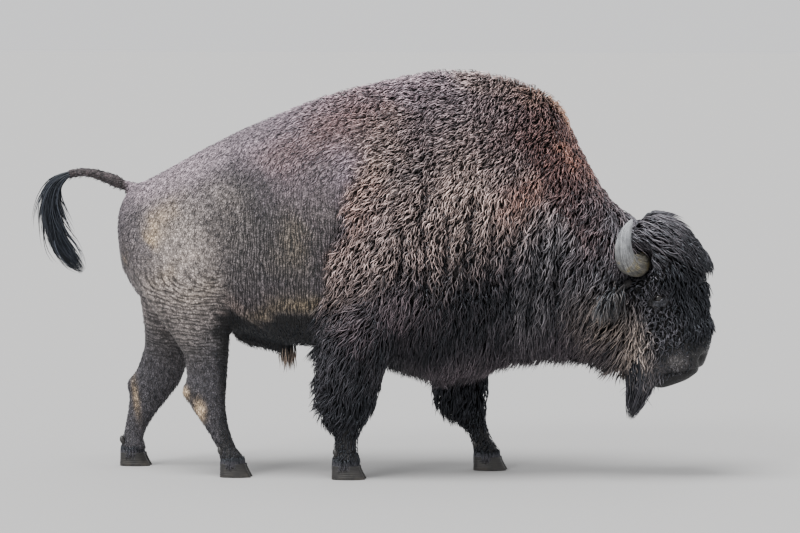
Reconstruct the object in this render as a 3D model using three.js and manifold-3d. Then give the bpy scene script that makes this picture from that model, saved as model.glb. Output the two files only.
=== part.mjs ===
// American bison bull, life size, walking slowly with its head held low over the ground.
// Millimetres. +X is forward, +Y is the animal's left, +Z is up. The floor is z = 0 and the origin is
// the middle of the outline's box on the floor. Each solid reaches out to the tips of the coat.
import * as THREE from "three";
import { mergeVertices } from "three/addons/utils/BufferGeometryUtils.js";
import Module from "manifold-3d";

const { PI, abs, cos, sin, sign, max } = Math;
const wasm = await Module();
wasm.setup();

// ---- Driving dimensions ----
const GAP = 0.6; // thin cut between two neighbouring parts
const CORONET = 62; // height at which the hooves end and the hair of the foot begins
const FOREFOOT_OUT = 220; // middle of a forefoot from the mid-plane
const HINDFOOT_OUT = 199; // middle of a hindfoot from the mid-plane
const CLAW_GAP = 4; // between the two claws of a foot
const EYE_RADIUS = 23;
const RIGHT = -1;
const LEFT = 1;
const REACH = 4000; // longer than the animal, for cutting blocks

// The head hangs from the poll, its face tilted forward of the vertical and turned a little to the right.
const POLL = new THREE.Vector3(1208, 0, 1108);
const FACE_TILT = (20 * PI) / 180;
const HEAD_TURN = (-4 * PI) / 180;

// Where the body is parted: planes through a point x, z, with their facing in degrees above +X, and levels.
const NAPE = { x: 1150, z: 800, turn: -3 };
const WITHERS = { x: 706, z: 1150, turn: 12 };
const BEARD = { front: 1292, top: 418 };
const DOCK = { front: -1144, low: 1270 };
const KNEE_AND_HOCK = 330;

// ---- Sections, lofts and blocks ----

// One point of a superellipse of the given power, at an angle round it.
function superellipse(angle, power) {
  const soften = (v) => sign(v) * abs(v) ** (2 / power);
  return [soften(cos(angle)), soften(sin(angle))];
}

// A closed skin over rings of equally many points, with a fan to the middle of each end ring.
function loft(rings) {
  const count = rings[0].length;
  const middle = (ring) => ring.reduce((sum, p) => sum.add(p), new THREE.Vector3()).divideScalar(count);
  const points = [...rings.flat(), middle(rings[0]), middle(rings[rings.length - 1])];
  const [first, last] = [rings.length * count, rings.length * count + 1];
  const index = [];
  for (let i = 0; i < count; i++) {
    const j = (i + 1) % count;
    index.push(first, j, i);
    index.push(last, (rings.length - 1) * count + i, (rings.length - 1) * count + j);
    for (let r = 0; r < rings.length - 1; r++) {
      const [a, b, c, d] = [r * count + i, r * count + j, (r + 1) * count + i, (r + 1) * count + j];
      index.push(a, b, d, a, d, c);
    }
  }
  const geometry = new THREE.BufferGeometry().setFromPoints(points);
  geometry.setIndex(index);
  return geometry;
}

// A geometry as a solid, turned the right way out.
function solid(geometry) {
  const bare = geometry.clone();
  bare.deleteAttribute("normal");
  bare.deleteAttribute("uv");
  const merged = mergeVertices(bare, 1e-3);
  const make = (triVerts) =>
    new wasm.Manifold(
      new wasm.Mesh({ numProp: 3, vertProperties: merged.attributes.position.array, triVerts }),
    );
  const triVerts = new Uint32Array(merged.index.array);
  const made = make(triVerts);
  return made.volume() > 0 ? made : make(triVerts.reverse());
}

// A body carried on rows [topX, topZ, bottomX, bottomZ, half-width, share of the height at which it is
// widest, superellipse power above that, power below it].
function barrel(rows, sides) {
  return rows.map(([tx, tz, bx, bz, half, wide, crown, keel]) =>
    Array.from({ length: sides }, (_, i) => {
      const angle = (2 * PI * i) / sides;
      const above = cos(angle) > 0;
      const [c, s] = superellipse(angle, above ? crown : keel);
      const h = above ? wide + (1 - wide) * c : wide * (1 + c);
      return new THREE.Vector3(bx + (tx - bx) * h, half * s, bz + (tz - bz) * h);
    }),
  );
}

// An upright form with level sections, on rows [z, rear x, front x, middle y, half-width, power].
function upright(rows, sides) {
  return rows.map(([z, rear, front, y, half, power]) =>
    Array.from({ length: sides }, (_, i) => {
      const [c, s] = superellipse((2 * PI * i) / sides, power);
      return new THREE.Vector3((rear + front) / 2 + ((front - rear) / 2) * c, y + half * s, z);
    }),
  );
}

// A limb swept along a smooth curve, on rows [share of the length, radius in the plane of `flat`,
// radius across it]; `flat` is the direction that the second radius follows.
function swept(path, rows, flat, sides, grow = 0) {
  const curve = new THREE.CatmullRomCurve3(path);
  return rows.map(([share, wide, thick]) => {
    const along = curve.getTangentAt(share);
    const side = new THREE.Vector3().crossVectors(along, flat).normalize();
    const across = new THREE.Vector3().crossVectors(side, along);
    return Array.from({ length: sides }, (_, i) => {
      const angle = (2 * PI * i) / sides;
      return curve
        .getPointAt(share)
        .addScaledVector(side, (wide + grow) * cos(angle))
        .addScaledVector(across, (thick + grow) * sin(angle));
    });
  });
}

// A block with one face through x, z, reaching away from it at `turn` degrees above +X.
function beyond({ x, z, turn }, grow = 0) {
  const block = new THREE.BoxGeometry(REACH, REACH, REACH);
  block.translate(REACH / 2 - grow, 0, 0);
  block.rotateY((-turn * PI) / 180);
  block.translate(x, 0, z);
  return solid(block);
}

// A block between two corners, grown on all sides.
function between(low, high, grow = 0) {
  const [a, b] = [new THREE.Vector3(...low), new THREE.Vector3(...high)];
  const size = b.clone().sub(a).addScalar(2 * grow);
  const block = new THREE.BoxGeometry(size.x, size.y, size.z);
  block.translate(...a.add(b).multiplyScalar(0.5).toArray());
  return solid(block);
}

// ---- Trunk and neck ----

// Rump, croup, loin, barrel, hump, the steep front of the hump and the nape, down to the poll.
const TRUNK_ROWS = [
  [-1168, 1200, -1176, 1075, 60, 0.5, 2.0, 2.0],
  [-1128, 1284, -1150, 920, 165, 0.5, 2.0, 2.1],
  [-1052, 1336, -1078, 800, 232, 0.48, 1.9, 2.2],
  [-930, 1402, -950, 725, 278, 0.46, 1.8, 2.3],
  [-786, 1484, -790, 690, 300, 0.45, 1.8, 2.4],
  [-605, 1577, -610, 640, 336, 0.42, 1.8, 2.4],
  [-423, 1648, -425, 592, 380, 0.4, 1.8, 2.3],
  [-241, 1720, -240, 578, 400, 0.38, 1.8, 2.2],
  [-59, 1772, -60, 560, 398, 0.38, 1.8, 2.1],
  [123, 1818, 130, 500, 396, 0.38, 1.75, 2.0],
  [305, 1848, 320, 446, 388, 0.4, 1.72, 1.9],
  [486, 1842, 500, 478, 362, 0.42, 1.72, 1.8],
  [640, 1812, 620, 532, 335, 0.44, 1.75, 1.8],
  [770, 1764, 720, 552, 315, 0.45, 1.8, 1.8],
  [852, 1706, 800, 558, 298, 0.46, 1.85, 1.8],
  [905, 1575, 870, 560, 283, 0.48, 1.9, 1.85],
  [984, 1414, 950, 552, 268, 0.5, 1.9, 1.9],
  [1075, 1268, 1040, 524, 254, 0.52, 2.0, 1.9],
  [1178, 1192, 1120, 486, 238, 0.54, 2.0, 2.0],
  [1270, 1130, 1190, 520, 190, 0.54, 2.0, 2.0],
];

// ---- Head, in its own frame: +X out of the forehead, +Z towards the crown, z = 0 at the poll ----

const HEAD_FRAME = new THREE.Matrix4()
  .makeTranslation(POLL.x, POLL.y, POLL.z)
  .multiply(new THREE.Matrix4().makeRotationZ(HEAD_TURN))
  .multiply(new THREE.Matrix4().makeRotationY(-FACE_TILT));

const headPoint = (x, y, z) => new THREE.Vector3(x, y, z);
const placeHead = (geometry) => geometry.applyMatrix4(HEAD_FRAME);

// Forehead, eyes, bridge of the nose, cheeks, jaw, nostrils and lips: [z, front, back, half, widest, power
// of the front, power of the back].
const FACE_ROWS = [
  [60, 60, -90, 110, 0.5, 2.0, 2.0],
  [0, 150, -150, 165, 0.5, 2.2, 2.0],
  [-100, 205, -190, 178, 0.5, 2.3, 2.0],
  [-200, 225, -212, 176, 0.52, 2.3, 2.0],
  [-300, 226, -236, 168, 0.54, 2.2, 2.0],
  [-400, 203, -262, 154, 0.56, 2.1, 2.0],
  [-490, 178, -284, 138, 0.58, 2.1, 2.0],
  [-560, 148, -280, 122, 0.6, 2.2, 2.0],
  [-612, 120, -256, 112, 0.62, 2.4, 2.0],
  [-652, 86, -224, 102, 0.62, 2.5, 2.1],
  [-682, 44, -188, 84, 0.6, 2.4, 2.1],
  [-700, -14, -136, 44, 0.5, 2.0, 2.0],
];

// The long hair of the crown, which hangs over the forehead and ends in a fringe above the eyes.
const CROWN_ROWS = [
  [86, 70, -62, 56, 0.5, 2.0, 2.0],
  [66, 112, -104, 132, 0.5, 2.0, 2.0],
  [22, 165, -132, 188, 0.5, 2.1, 2.1],
  [-40, 207, -138, 222, 0.48, 2.1, 2.1],
  [-110, 240, -132, 232, 0.46, 2.1, 2.1],
  [-180, 262, -112, 224, 0.44, 2.1, 2.1],
  [-240, 268, -70, 202, 0.4, 2.1, 2.1],
  [-286, 252, 0, 158, 0.4, 2.0, 2.0],
  [-304, 205, 70, 84, 0.45, 2.0, 2.0],
];

// Level sections in the head's frame, from the rows above.
function headForm(rows, sides) {
  const asBarrel = rows.map(([z, front, back, half, wide, crown, keel]) =>
    [front, z, back, z, half, wide, crown, keel],
  );
  return placeHead(loft(barrel(asBarrel, sides)));
}

// A horn grows out of the side of the crown, bends up and comes in again at its tip.
function horn(side, grow = 0) {
  const path = [
    headPoint(-20, side * 120, -124),
    headPoint(-32, side * 184, -132),
    headPoint(-54, side * 248, -103),
    headPoint(-44, side * 294, -42),
    headPoint(-12, side * 306, 18),
    headPoint(36, side * 284, 70),
  ];
  const rows = [
    [0, 50, 50],
    [0.16, 51, 51],
    [0.3, 50, 49],
    [0.43, 47, 45],
    [0.56, 42, 40],
    [0.68, 36, 34],
    [0.8, 28, 27],
    [0.9, 19, 18],
    [0.97, 10, 10],
    [1, 4, 4],
  ];
  return solid(placeHead(loft(swept(path, rows, new THREE.Vector3(1, 0, 0), 10, grow))));
}

// An ear: a leaf on a short stalk, behind and below the horn, mostly under the wool.
function ear(side, grow = 0) {
  const path = [
    headPoint(-96, side * 150, -196),
    headPoint(-132, side * 214, -204),
    headPoint(-168, side * 262, -222),
    headPoint(-196, side * 296, -250),
  ];
  const rows = [
    [0, 24, 20],
    [0.2, 30, 18],
    [0.42, 37, 15],
    [0.64, 35, 12],
    [0.84, 23, 9],
    [1, 5, 4],
  ];
  return solid(placeHead(loft(swept(path, rows, new THREE.Vector3(1, 0, 0.4), 10, grow))));
}

// The eyeball, and the opening in the short hair round it.
const eyePoint = (side, out) => headPoint(8, side * out, -303);

function ball(centre, radius, across, down) {
  const sphere = new THREE.SphereGeometry(radius, across, down);
  return solid(placeHead(sphere.translate(...centre.toArray())));
}

const eye = (side, grow = 0) => ball(eyePoint(side, 133), EYE_RADIUS + grow, 12, 7);

function eyeOpening(side) {
  const bowl = new THREE.SphereGeometry(30, 10, 6);
  bowl.scale(1.25, 1, 0.95);
  return solid(placeHead(bowl.translate(...eyePoint(side, 176).toArray())));
}

// The beard, a pointed curtain of hair under the chin.
const BEARD_ROWS = [
  [600, 1130, 1300, -14, 96, 2.0],
  [450, 1156, 1292, -16, 82, 2.0],
  [385, 1154, 1268, -16, 64, 2.0],
  [325, 1152, 1238, -16, 44, 2.0],
  [262, 1162, 1192, -15, 10, 2.0],
];

// ---- Legs, on level sections from the shoulder or hip down to the coronet ----

// Levels [z, distance of the middle from the mid-plane, half-width, superellipse power] of both forelegs:
// shoulder, elbow, the shaggy trousers down past the knee, cannon, fetlock and pastern.
const FORELEG_LEVELS = [
  [1000, 190, 120, 2.0],
  [810, 231, 140, 2.0],
  [700, 246, 137, 2.0],
  [606, 244, 125, 2.0],
  [533, 238, 112, 2.0],
  [460, 233, 102, 2.0],
  [388, 229, 92, 2.0],
  [340, 226, 84, 2.0],
  [296, 224, 75, 2.0],
  [262, 222, 64, 2.0],
  [238, 221, 52, 2.0],
  [200, FOREFOOT_OUT, 45, 2.1],
  [150, FOREFOOT_OUT, 46, 2.2],
  [110, FOREFOOT_OUT, 54, 2.2],
  [CORONET + GAP, FOREFOOT_OUT, 58, 2.4],
];

// Where each foreleg begins behind and ends in front on those levels: the right one stands under the
// shoulder, the left one reaches forward.
const FORELEG_RIGHT_STANCE = [
  [-210, 210],
  [-232, 190],
  [-230, 160],
  [-232, 132],
  [-240, 106],
  [-246, 82],
  [-246, 64],
  [-240, 46],
  [-224, 18],
  [-200, -8],
  [-168, -22],
  [-150, -36],
  [-152, -40],
  [-154, -40],
  [-146, -26],
];
const FORELEG_LEFT_STANCE = [
  [0, 400],
  [60, 440],
  [110, 470],
  [160, 490],
  [198, 500],
  [226, 506],
  [232, 512],
  [238, 504],
  [262, 496],
  [310, 492],
  [356, 492],
  [396, 500],
  [420, 520],
  [434, 540],
  [446, 564],
];

// The same of the hind legs: hip, thigh, stifle, gaskin, hock, cannon, fetlock and pastern.
const HINDLEG_LEVELS = [
  [1180, 120, 120, 2.0],
  [1040, 160, 132, 2.0],
  [920, 178, 134, 2.1],
  [815, 186, 128, 2.1],
  [723, 190, 116, 2.1],
  [632, 193, 101, 2.1],
  [554, 195, 85, 2.1],
  [460, 197, 68, 2.0],
  [386, 198, 62, 2.0],
  [318, 199, 57, 2.0],
  [265, 199, 52, 2.0],
  [215, HINDFOOT_OUT, 47, 2.1],
  [150, HINDFOOT_OUT, 46, 2.2],
  [108, HINDFOOT_OUT, 53, 2.2],
  [CORONET + GAP, HINDFOOT_OUT, 56, 2.4],
];

// The right hind leg is set forward under the flank, the left one trails behind.
const HINDLEG_RIGHT_STANCE = [
  [-1080, -720],
  [-1120, -660],
  [-1088, -630],
  [-1032, -620],
  [-972, -620],
  [-900, -622],
  [-848, -626],
  [-836, -632],
  [-838, -638],
  [-818, -638],
  [-782, -634],
  [-746, -624],
  [-706, -602],
  [-682, -580],
  [-662, -556],
];
const HINDLEG_LEFT_STANCE = [
  [-1090, -740],
  [-1136, -700],
  [-1134, -690],
  [-1126, -716],
  [-1112, -770],
  [-1100, -828],
  [-1100, -868],
  [-1134, -888],
  [-1170, -916],
  [-1176, -968],
  [-1180, -1014],
  [-1188, -1052],
  [-1200, -1088],
  [-1206, -1098],
  [-1196, -1084],
];

function leg(levels, stance, side) {
  const rows = levels.map(([z, out, half, power], i) => [z, ...stance[i], side * out, half, power]);
  return solid(loft(upright(rows, 12)));
}

// ---- Feet ----

// One claw of a cloven hoof: flat sole, sloping toe wall, drawn inwards at the toe.
function claw(heel, toe, y, side, halfWidth) {
  const slope = 24; // how far the toe wall leans back over its height
  const bevel = 3; // rounding of the sole's edge
  const rings = [0, 0.12, 1].map((share) => {
    const trim = share === 0 ? bevel : 0;
    const front = toe - slope * share - trim;
    const back = heel + 6 * share + trim;
    const half = halfWidth * (1 - 0.1 * share) - trim;
    return Array.from({ length: 12 }, (_, i) => {
      const [c, s] = superellipse((2 * PI * i) / 12, 2.3);
      const toeward = max(0, c) ** 2;
      const middle = y + side * (halfWidth + CLAW_GAP / 2 - 0.22 * toeward * halfWidth);
      const x = (front + back) / 2 + ((front - back) / 2) * c;
      return new THREE.Vector3(x, middle + half * s * (1 - 0.35 * toeward), CORONET * share);
    });
  });
  return solid(loft(rings));
}

// A dewclaw, the small horny knob behind the fetlock.
const DEWCLAW_HEIGHT = 118;
const DEWCLAW_OUT = 30;

function dewclaw(x, y, grow = 0) {
  const knob = new THREE.SphereGeometry(1, 7, 4);
  knob.scale(17 + grow, 14 + grow, 22 + grow);
  knob.rotateY(0.35);
  return solid(knob.translate(x, y, DEWCLAW_HEIGHT));
}

const FEET = {
  fore_right: { heel: -158, toe: -4, y: RIGHT * FOREFOOT_OUT, half: 31, dew: -150 },
  fore_left: { heel: 438, toe: 592, y: LEFT * FOREFOOT_OUT, half: 31, dew: 436 },
  hind_right: { heel: -672, toe: -528, y: RIGHT * HINDFOOT_OUT, half: 28, dew: -680 },
  hind_left: { heel: -1206, toe: -1062, y: LEFT * HINDFOOT_OUT, half: 28, dew: -1204 },
};

// ---- Tail and underside ----

const SIDEWAYS = new THREE.Vector3(0, 1, 0);
const tailPart = (path, rows, grow = 0) => solid(loft(swept(path, rows, SIDEWAYS, 12, grow)));

const TAIL_DOCK = [
  new THREE.Vector3(-1010, 0, 1268),
  new THREE.Vector3(-1092, 0, 1296),
  new THREE.Vector3(-1168, 0, 1320),
  new THREE.Vector3(-1252, 0, 1354),
  new THREE.Vector3(-1336, 0, 1370),
  new THREE.Vector3(-1408, 0, 1356),
];
const DOCK_ROWS = [
  [0, 44, 46],
  [0.18, 38, 42],
  [0.34, 28, 32],
  [0.5, 21, 25],
  [0.68, 18, 20],
  [0.84, 17, 18],
  [1, 18, 18],
];

// The switch: the last bend of the tail with its long hair, hanging to a ragged point.
const TAIL_SWITCH = [
  new THREE.Vector3(-1409, 0, 1355.5),
  new THREE.Vector3(-1464, 0, 1312),
  new THREE.Vector3(-1490, 0, 1238),
  new THREE.Vector3(-1480, 0, 1142),
  new THREE.Vector3(-1446, 0, 1042),
  new THREE.Vector3(-1394, 0, 966),
  new THREE.Vector3(-1348, 0, 918),
];
const SWITCH_ROWS = [
  [0.002, 18, 18],
  [0.1, 30, 24],
  [0.22, 42, 34],
  [0.38, 46, 40],
  [0.56, 50, 42],
  [0.72, 48, 38],
  [0.86, 36, 26],
  [0.95, 20, 15],
  [1, 6, 5],
];

// The sheath runs forward under the belly and ends in a tuft.
const SHEATH = [
  new THREE.Vector3(-640, 0, 650),
  new THREE.Vector3(-540, 0, 608),
  new THREE.Vector3(-450, 0, 590),
  new THREE.Vector3(-400, 0, 560),
  new THREE.Vector3(-386, 0, 520),
  new THREE.Vector3(-380, 0, 476),
];
const SHEATH_ROWS = [
  [0, 40, 50],
  [0.25, 44, 52],
  [0.5, 42, 46],
  [0.68, 38, 36],
  [0.82, 30, 28],
  [0.93, 18, 17],
  [1, 6, 6],
];

const SCROTUM_ROWS = [
  [800, -900, -800, 0, 60, 2.0],
  [740, -896, -808, 0, 56, 2.0],
  [680, -900, -812, 0, 60, 2.0],
  [630, -896, -820, 0, 56, 2.0],
  [600, -878, -838, 0, 32, 2.0],
];

// ---- The whole animal, then its parts ----

const SIDES = { right: RIGHT, left: LEFT };
const pieces = {};
let body = [
  solid(headForm(FACE_ROWS, 20)),
  solid(headForm(CROWN_ROWS, 20)),
  solid(loft(upright(BEARD_ROWS, 12))),
  leg(FORELEG_LEVELS, FORELEG_RIGHT_STANCE, RIGHT),
  leg(FORELEG_LEVELS, FORELEG_LEFT_STANCE, LEFT),
  leg(HINDLEG_LEVELS, HINDLEG_RIGHT_STANCE, RIGHT),
  leg(HINDLEG_LEVELS, HINDLEG_LEFT_STANCE, LEFT),
  tailPart(TAIL_DOCK, DOCK_ROWS),
  tailPart(SHEATH, SHEATH_ROWS),
  solid(loft(upright(SCROTUM_ROWS, 10))),
].reduce((whole, piece) => whole.add(piece), solid(loft(barrel(TRUNK_ROWS, 28))));

// Horns, ears, eyes and dewclaws stand in the body in beds of their own, a thin gap wider than they are.
for (const [word, side] of Object.entries(SIDES)) {
  pieces[`horn_${word}`] = horn(side);
  pieces[`ear_${word}`] = ear(side).subtract(horn(side, GAP));
  pieces[`eye_${word}`] = eye(side);
  body = body.subtract(horn(side, GAP)).subtract(ear(side, GAP));
  body = body.subtract(eye(side, GAP)).subtract(eyeOpening(side));
}
for (const [foot, { heel, toe, y, half, dew }] of Object.entries(FEET)) {
  for (const [word, side] of Object.entries(SIDES)) {
    const dewY = y + side * DEWCLAW_OUT;
    pieces[`hoof_${foot}_${word}`] = claw(heel, toe, y, side, half);
    pieces[`dewclaw_${foot}_${word}`] = dewclaw(dew, dewY);
    body = body.subtract(dewclaw(dew, dewY, GAP));
  }
}

// Takes the body's share inside a block out of it, and leaves a thin gap. The block is given by its growth.
function take(block) {
  const share = body.intersect(block(0));
  body = body.subtract(block(GAP));
  return share;
}

// The tail leaves over the rump, and its switch starts a thin gap past the dock.
pieces.tail_dock = take((grow) => between([-REACH, -REACH, DOCK.low], [DOCK.front, REACH, REACH], grow));
pieces.tail_switch = tailPart(TAIL_SWITCH, SWITCH_ROWS).subtract(tailPart(TAIL_DOCK, DOCK_ROWS, GAP));

// The head parts from the neck on a plane through nape and throat, the beard from the chin, and the neck
// from the trunk on a plane down the front of the shoulder.
const headAndBeard = take((grow) => beyond(NAPE, grow));
const beardBlock = (grow) => between([-REACH, -REACH, -REACH], [BEARD.front, REACH, BEARD.top], grow);
pieces.beard = headAndBeard.intersect(beardBlock(0));
pieces.head = headAndBeard.subtract(beardBlock(GAP));
pieces.neck = take((grow) => beyond(WITHERS, grow));

// Each leg parts from the trunk at `top`, elbow or flank, and from `inner` outwards. Above `step` its block
// ends in front at `flank`, below that at `toe`. It parts again below the knee or hock.
const STEP = 500;
const LEGS = {
  foreleg_right: { side: RIGHT, inner: 90, top: 640, rear: -320, flank: 200, toe: 200 },
  foreleg_left: { side: LEFT, inner: 90, top: 640, rear: 40, flank: 580, toe: 600 },
  hindleg_right: { side: RIGHT, inner: 64, top: 860, rear: -1400, flank: -608, toe: -520 },
  hindleg_left: { side: LEFT, inner: 64, top: 860, rear: -1400, flank: -680, toe: -680 },
};

function legBlock({ side, inner, top, rear, flank, toe }, grow) {
  const [near, far] = [side * inner, side * REACH].sort((p, q) => p - q);
  const shank = between([rear, near, -REACH], [toe, far, STEP], grow);
  return shank.add(between([rear, near, 0], [flank, far, top], grow));
}

for (const [name, limits] of Object.entries(LEGS)) {
  const whole = take((grow) => legBlock(limits, grow));
  const shankBlock = (grow) => between([-REACH, -REACH, -REACH], [REACH, REACH, KNEE_AND_HOCK], grow);
  pieces[`${name}_upper`] = whole.subtract(shankBlock(GAP));
  pieces[`${name}_lower`] = whole.intersect(shankBlock(0));
}

pieces.sheath = take((grow) => between([-440, -60, 400], [-300, 60, 600], grow));
pieces.scrotum = take((grow) => between([-900, -64, 400], [-760, 64, 672], grow));
pieces.trunk = body;

// ---- Meshes ----

const FINISHES = {
  horn: { color: 0x8d8a80, roughness: 0.55 },
  hoof: { color: 0x2a2523, roughness: 0.5 },
  dewclaw: { color: 0x2a2523, roughness: 0.5 },
  eye: { color: 0x120d0b, roughness: 0.12 },
  tail_switch: { color: 0x1b1a1d, roughness: 0.8 },
  beard: { color: 0x1f1b1b, roughness: 0.85 },
  sheath: { color: 0x3a302a, roughness: 0.85 },
  head: { color: 0x2b2523, roughness: 0.85 },
  ear: { color: 0x2b2523, roughness: 0.85 },
  neck: { color: 0x3c302a, roughness: 0.85 },
  foreleg: { color: 0x2a2422, roughness: 0.85 },
  hindleg: { color: 0x37302c, roughness: 0.8 },
  any: { color: 0x4a3e37, roughness: 0.8 },
};

function finish(name) {
  const key = Object.keys(FINISHES).find((word) => name.startsWith(word)) ?? "any";
  return new THREE.MeshStandardMaterial({ ...FINISHES[key], metalness: 0 });
}

function mesh(name, made) {
  const { numProp, vertProperties, triVerts } = made.getMesh();
  const geometry = new THREE.BufferGeometry();
  const corners = Array.from({ length: vertProperties.length / numProp }, (_, i) =>
    new THREE.Vector3(...vertProperties.subarray(i * numProp, i * numProp + 3)),
  );
  geometry.setFromPoints(corners).setIndex([...triVerts]);
  const shown = new THREE.Mesh(geometry, finish(name));
  shown.name = name;
  return shown;
}

const bison = new THREE.Group();
for (const [name, made] of Object.entries(pieces)) bison.add(mesh(name, made));
export default bison;
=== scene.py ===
"""A grown American bison bull, walking with its head held low: hide, eyes, horns, hooves, wool and floor.

Metres throughout. +X is forwards, +Y is the animal's left, +Z is up, and the floor is z = 0. Every piece
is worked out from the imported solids, which reach out to the tips of the coat.
"""

import math

import bmesh
import bpy
import numpy as np
import openvdb
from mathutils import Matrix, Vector


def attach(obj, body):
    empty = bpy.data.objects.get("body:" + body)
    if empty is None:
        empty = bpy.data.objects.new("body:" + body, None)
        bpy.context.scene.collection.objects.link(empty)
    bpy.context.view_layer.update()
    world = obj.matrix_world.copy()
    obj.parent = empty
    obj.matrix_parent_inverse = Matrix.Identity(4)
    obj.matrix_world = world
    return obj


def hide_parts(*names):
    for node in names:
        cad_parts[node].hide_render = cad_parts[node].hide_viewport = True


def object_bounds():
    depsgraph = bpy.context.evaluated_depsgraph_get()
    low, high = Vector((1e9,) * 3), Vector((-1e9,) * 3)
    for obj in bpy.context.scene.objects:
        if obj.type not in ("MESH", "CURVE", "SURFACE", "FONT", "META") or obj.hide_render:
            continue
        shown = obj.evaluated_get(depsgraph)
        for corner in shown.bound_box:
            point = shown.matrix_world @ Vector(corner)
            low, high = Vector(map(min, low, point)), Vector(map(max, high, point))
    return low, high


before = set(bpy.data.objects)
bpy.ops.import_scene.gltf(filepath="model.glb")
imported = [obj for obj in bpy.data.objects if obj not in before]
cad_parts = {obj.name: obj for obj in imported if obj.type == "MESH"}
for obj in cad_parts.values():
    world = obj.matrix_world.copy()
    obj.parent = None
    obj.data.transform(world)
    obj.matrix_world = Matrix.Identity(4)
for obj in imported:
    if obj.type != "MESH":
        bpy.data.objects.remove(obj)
cad_low, cad_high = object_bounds()

# ---- The camera ----
# A long lens far off, a little ahead of the animal's right flank and a little above its belly line, so that
# near and far legs come out the same size.

VIEW_AZIMUTH = math.radians(7)
VIEW_ELEVATION = math.radians(4)
VIEW_DISTANCE = 20.0
VIEW_CENTRE = Vector((0.1227, 0.0, 0.9477))
VIEW_WIDTH = 3.636  # seen at the centre's distance
SENSOR_WIDTH = 36.0

camera_data = bpy.data.cameras.new("camera")
camera_data.sensor_width = SENSOR_WIDTH
camera_data.lens = SENSOR_WIDTH * VIEW_DISTANCE / VIEW_WIDTH
camera_data.clip_end = 200.0
camera = bpy.data.objects.new("camera", camera_data)
bpy.context.scene.collection.objects.link(camera)
towards_camera = Vector((
    math.sin(VIEW_AZIMUTH) * math.cos(VIEW_ELEVATION),
    -math.cos(VIEW_AZIMUTH) * math.cos(VIEW_ELEVATION),
    math.sin(VIEW_ELEVATION),
))
camera.location = VIEW_CENTRE + towards_camera * VIEW_DISTANCE
camera.rotation_mode = "QUATERNION"
camera.rotation_quaternion = (-towards_camera).to_track_quat("-Z", "Y")
bpy.context.scene.camera = camera

# ---- The hide ----
# One tanned skin drawn over trunk, neck, head, legs and tail of the mount. It lies inside the solids by the
# depth of the coat on it: three centimetres under the wool of cape and forelegs, almost nothing on the
# short-haired quarters.

SIDES = (("right", -1), ("left", 1))
FLESH = ["trunk", "neck", "head", "tail_dock", "sheath", "scrotum"]
FLESH += [f"{limb}_{word}_{part}" for limb in ("foreleg", "hindleg") for word, _ in SIDES
          for part in ("upper", "lower")]
VOXEL = 0.0127
CUT_WIDTH = 0.001  # a little more than the thin cuts between the solids
BAND = 0.16  # how far from the surface the distance field is kept


def smooth(value, low, high):
    """0 below low, 1 above high and 3t^2 - 2t^3 between; the edges may be given in falling order."""
    t = np.clip((value - low) / (high - low), 0.0, 1.0)
    return t * t * (3.0 - 2.0 * t)


def read(items, name, width, kind=np.float64):
    """One property of all corners, faces or loops of a mesh, as an array with rows of the width given."""
    values = np.empty(len(items) * width, kind)
    items.foreach_get(name, values)
    return values.reshape(-1, width)


def node_mesh(name):
    """A solid's corners and triangles, as float and integer arrays."""
    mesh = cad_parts[name].data
    mesh.calc_loop_triangles()
    corners = read(mesh.loop_triangles, "vertices", 3, np.int32)
    return read(mesh.vertices, "co", 3, np.float32), corners.astype(np.uint32)


class Field:
    """A distance field on a box of voxels that holds the whole animal with room to spare."""

    def __init__(self, low, high, voxel):
        self.first = np.floor((np.array(low) - BAND) / voxel).astype(int)
        self.shape = tuple(np.ceil((np.array(high) + BAND) / voxel).astype(int) - self.first)
        self.voxel = voxel
        self.transform = openvdb.createLinearTransform(voxelSize=voxel)

    def distance(self, points, band, triangles=None, quads=None):
        """Signed distance to a closed surface, cut off at band voxels, as a dense array."""
        grid = openvdb.FloatGrid.createLevelSetFromPolygons(
            points, triangles=triangles, quads=quads, transform=self.transform, halfWidth=band)
        values = np.empty(self.shape, np.float32)
        grid.copyToArray(values, ijk=tuple(self.first))
        return values

    def surface(self, values):
        """Points and quads of the zero level of a dense array."""
        grid = openvdb.FloatGrid(float(values.max()))
        grid.transform = self.transform
        grid.copyFromArray(values.astype(np.float32), ijk=tuple(self.first))
        points, _, quads = grid.convertToPolygons(0.0, 0.0)
        return points, quads

    def places(self):
        """The x, y and z of the voxels, each shaped to spread over the dense array."""
        axes = [(self.first[k] + np.arange(self.shape[k])) * self.voxel for k in range(3)]
        return np.meshgrid(*axes, indexing="ij", sparse=True)


def blur(values, spread):
    """values weighted by exp(-d^2 / 2 spread^2) along each axis in turn; spread is in voxels."""
    reach = int(math.ceil(3.0 * spread))
    weights = np.exp(-0.5 * (np.arange(-reach, reach + 1) / spread) ** 2)
    weights /= weights.sum()
    for axis in range(3):
        padded = np.pad(values, [(reach, reach) if k == axis else (0, 0) for k in range(3)], mode="edge")
        size = values.shape[axis]
        total = np.zeros_like(values)
        for step, weight in enumerate(weights):
            total += weight * np.take(padded, range(step, step + size), axis=axis)
        values = total
    return values


field = Field(cad_low, cad_high, VOXEL)
whole = np.full(field.shape, BAND, np.float32)
for name in FLESH:
    points, triangles = node_mesh(name)
    whole = np.minimum(whole, field.distance(points, band=3.0, triangles=triangles))
shell_points, shell_quads = field.surface(whole - CUT_WIDTH)
distance = field.distance(shell_points, band=BAND / VOXEL, quads=shell_quads)

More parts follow.
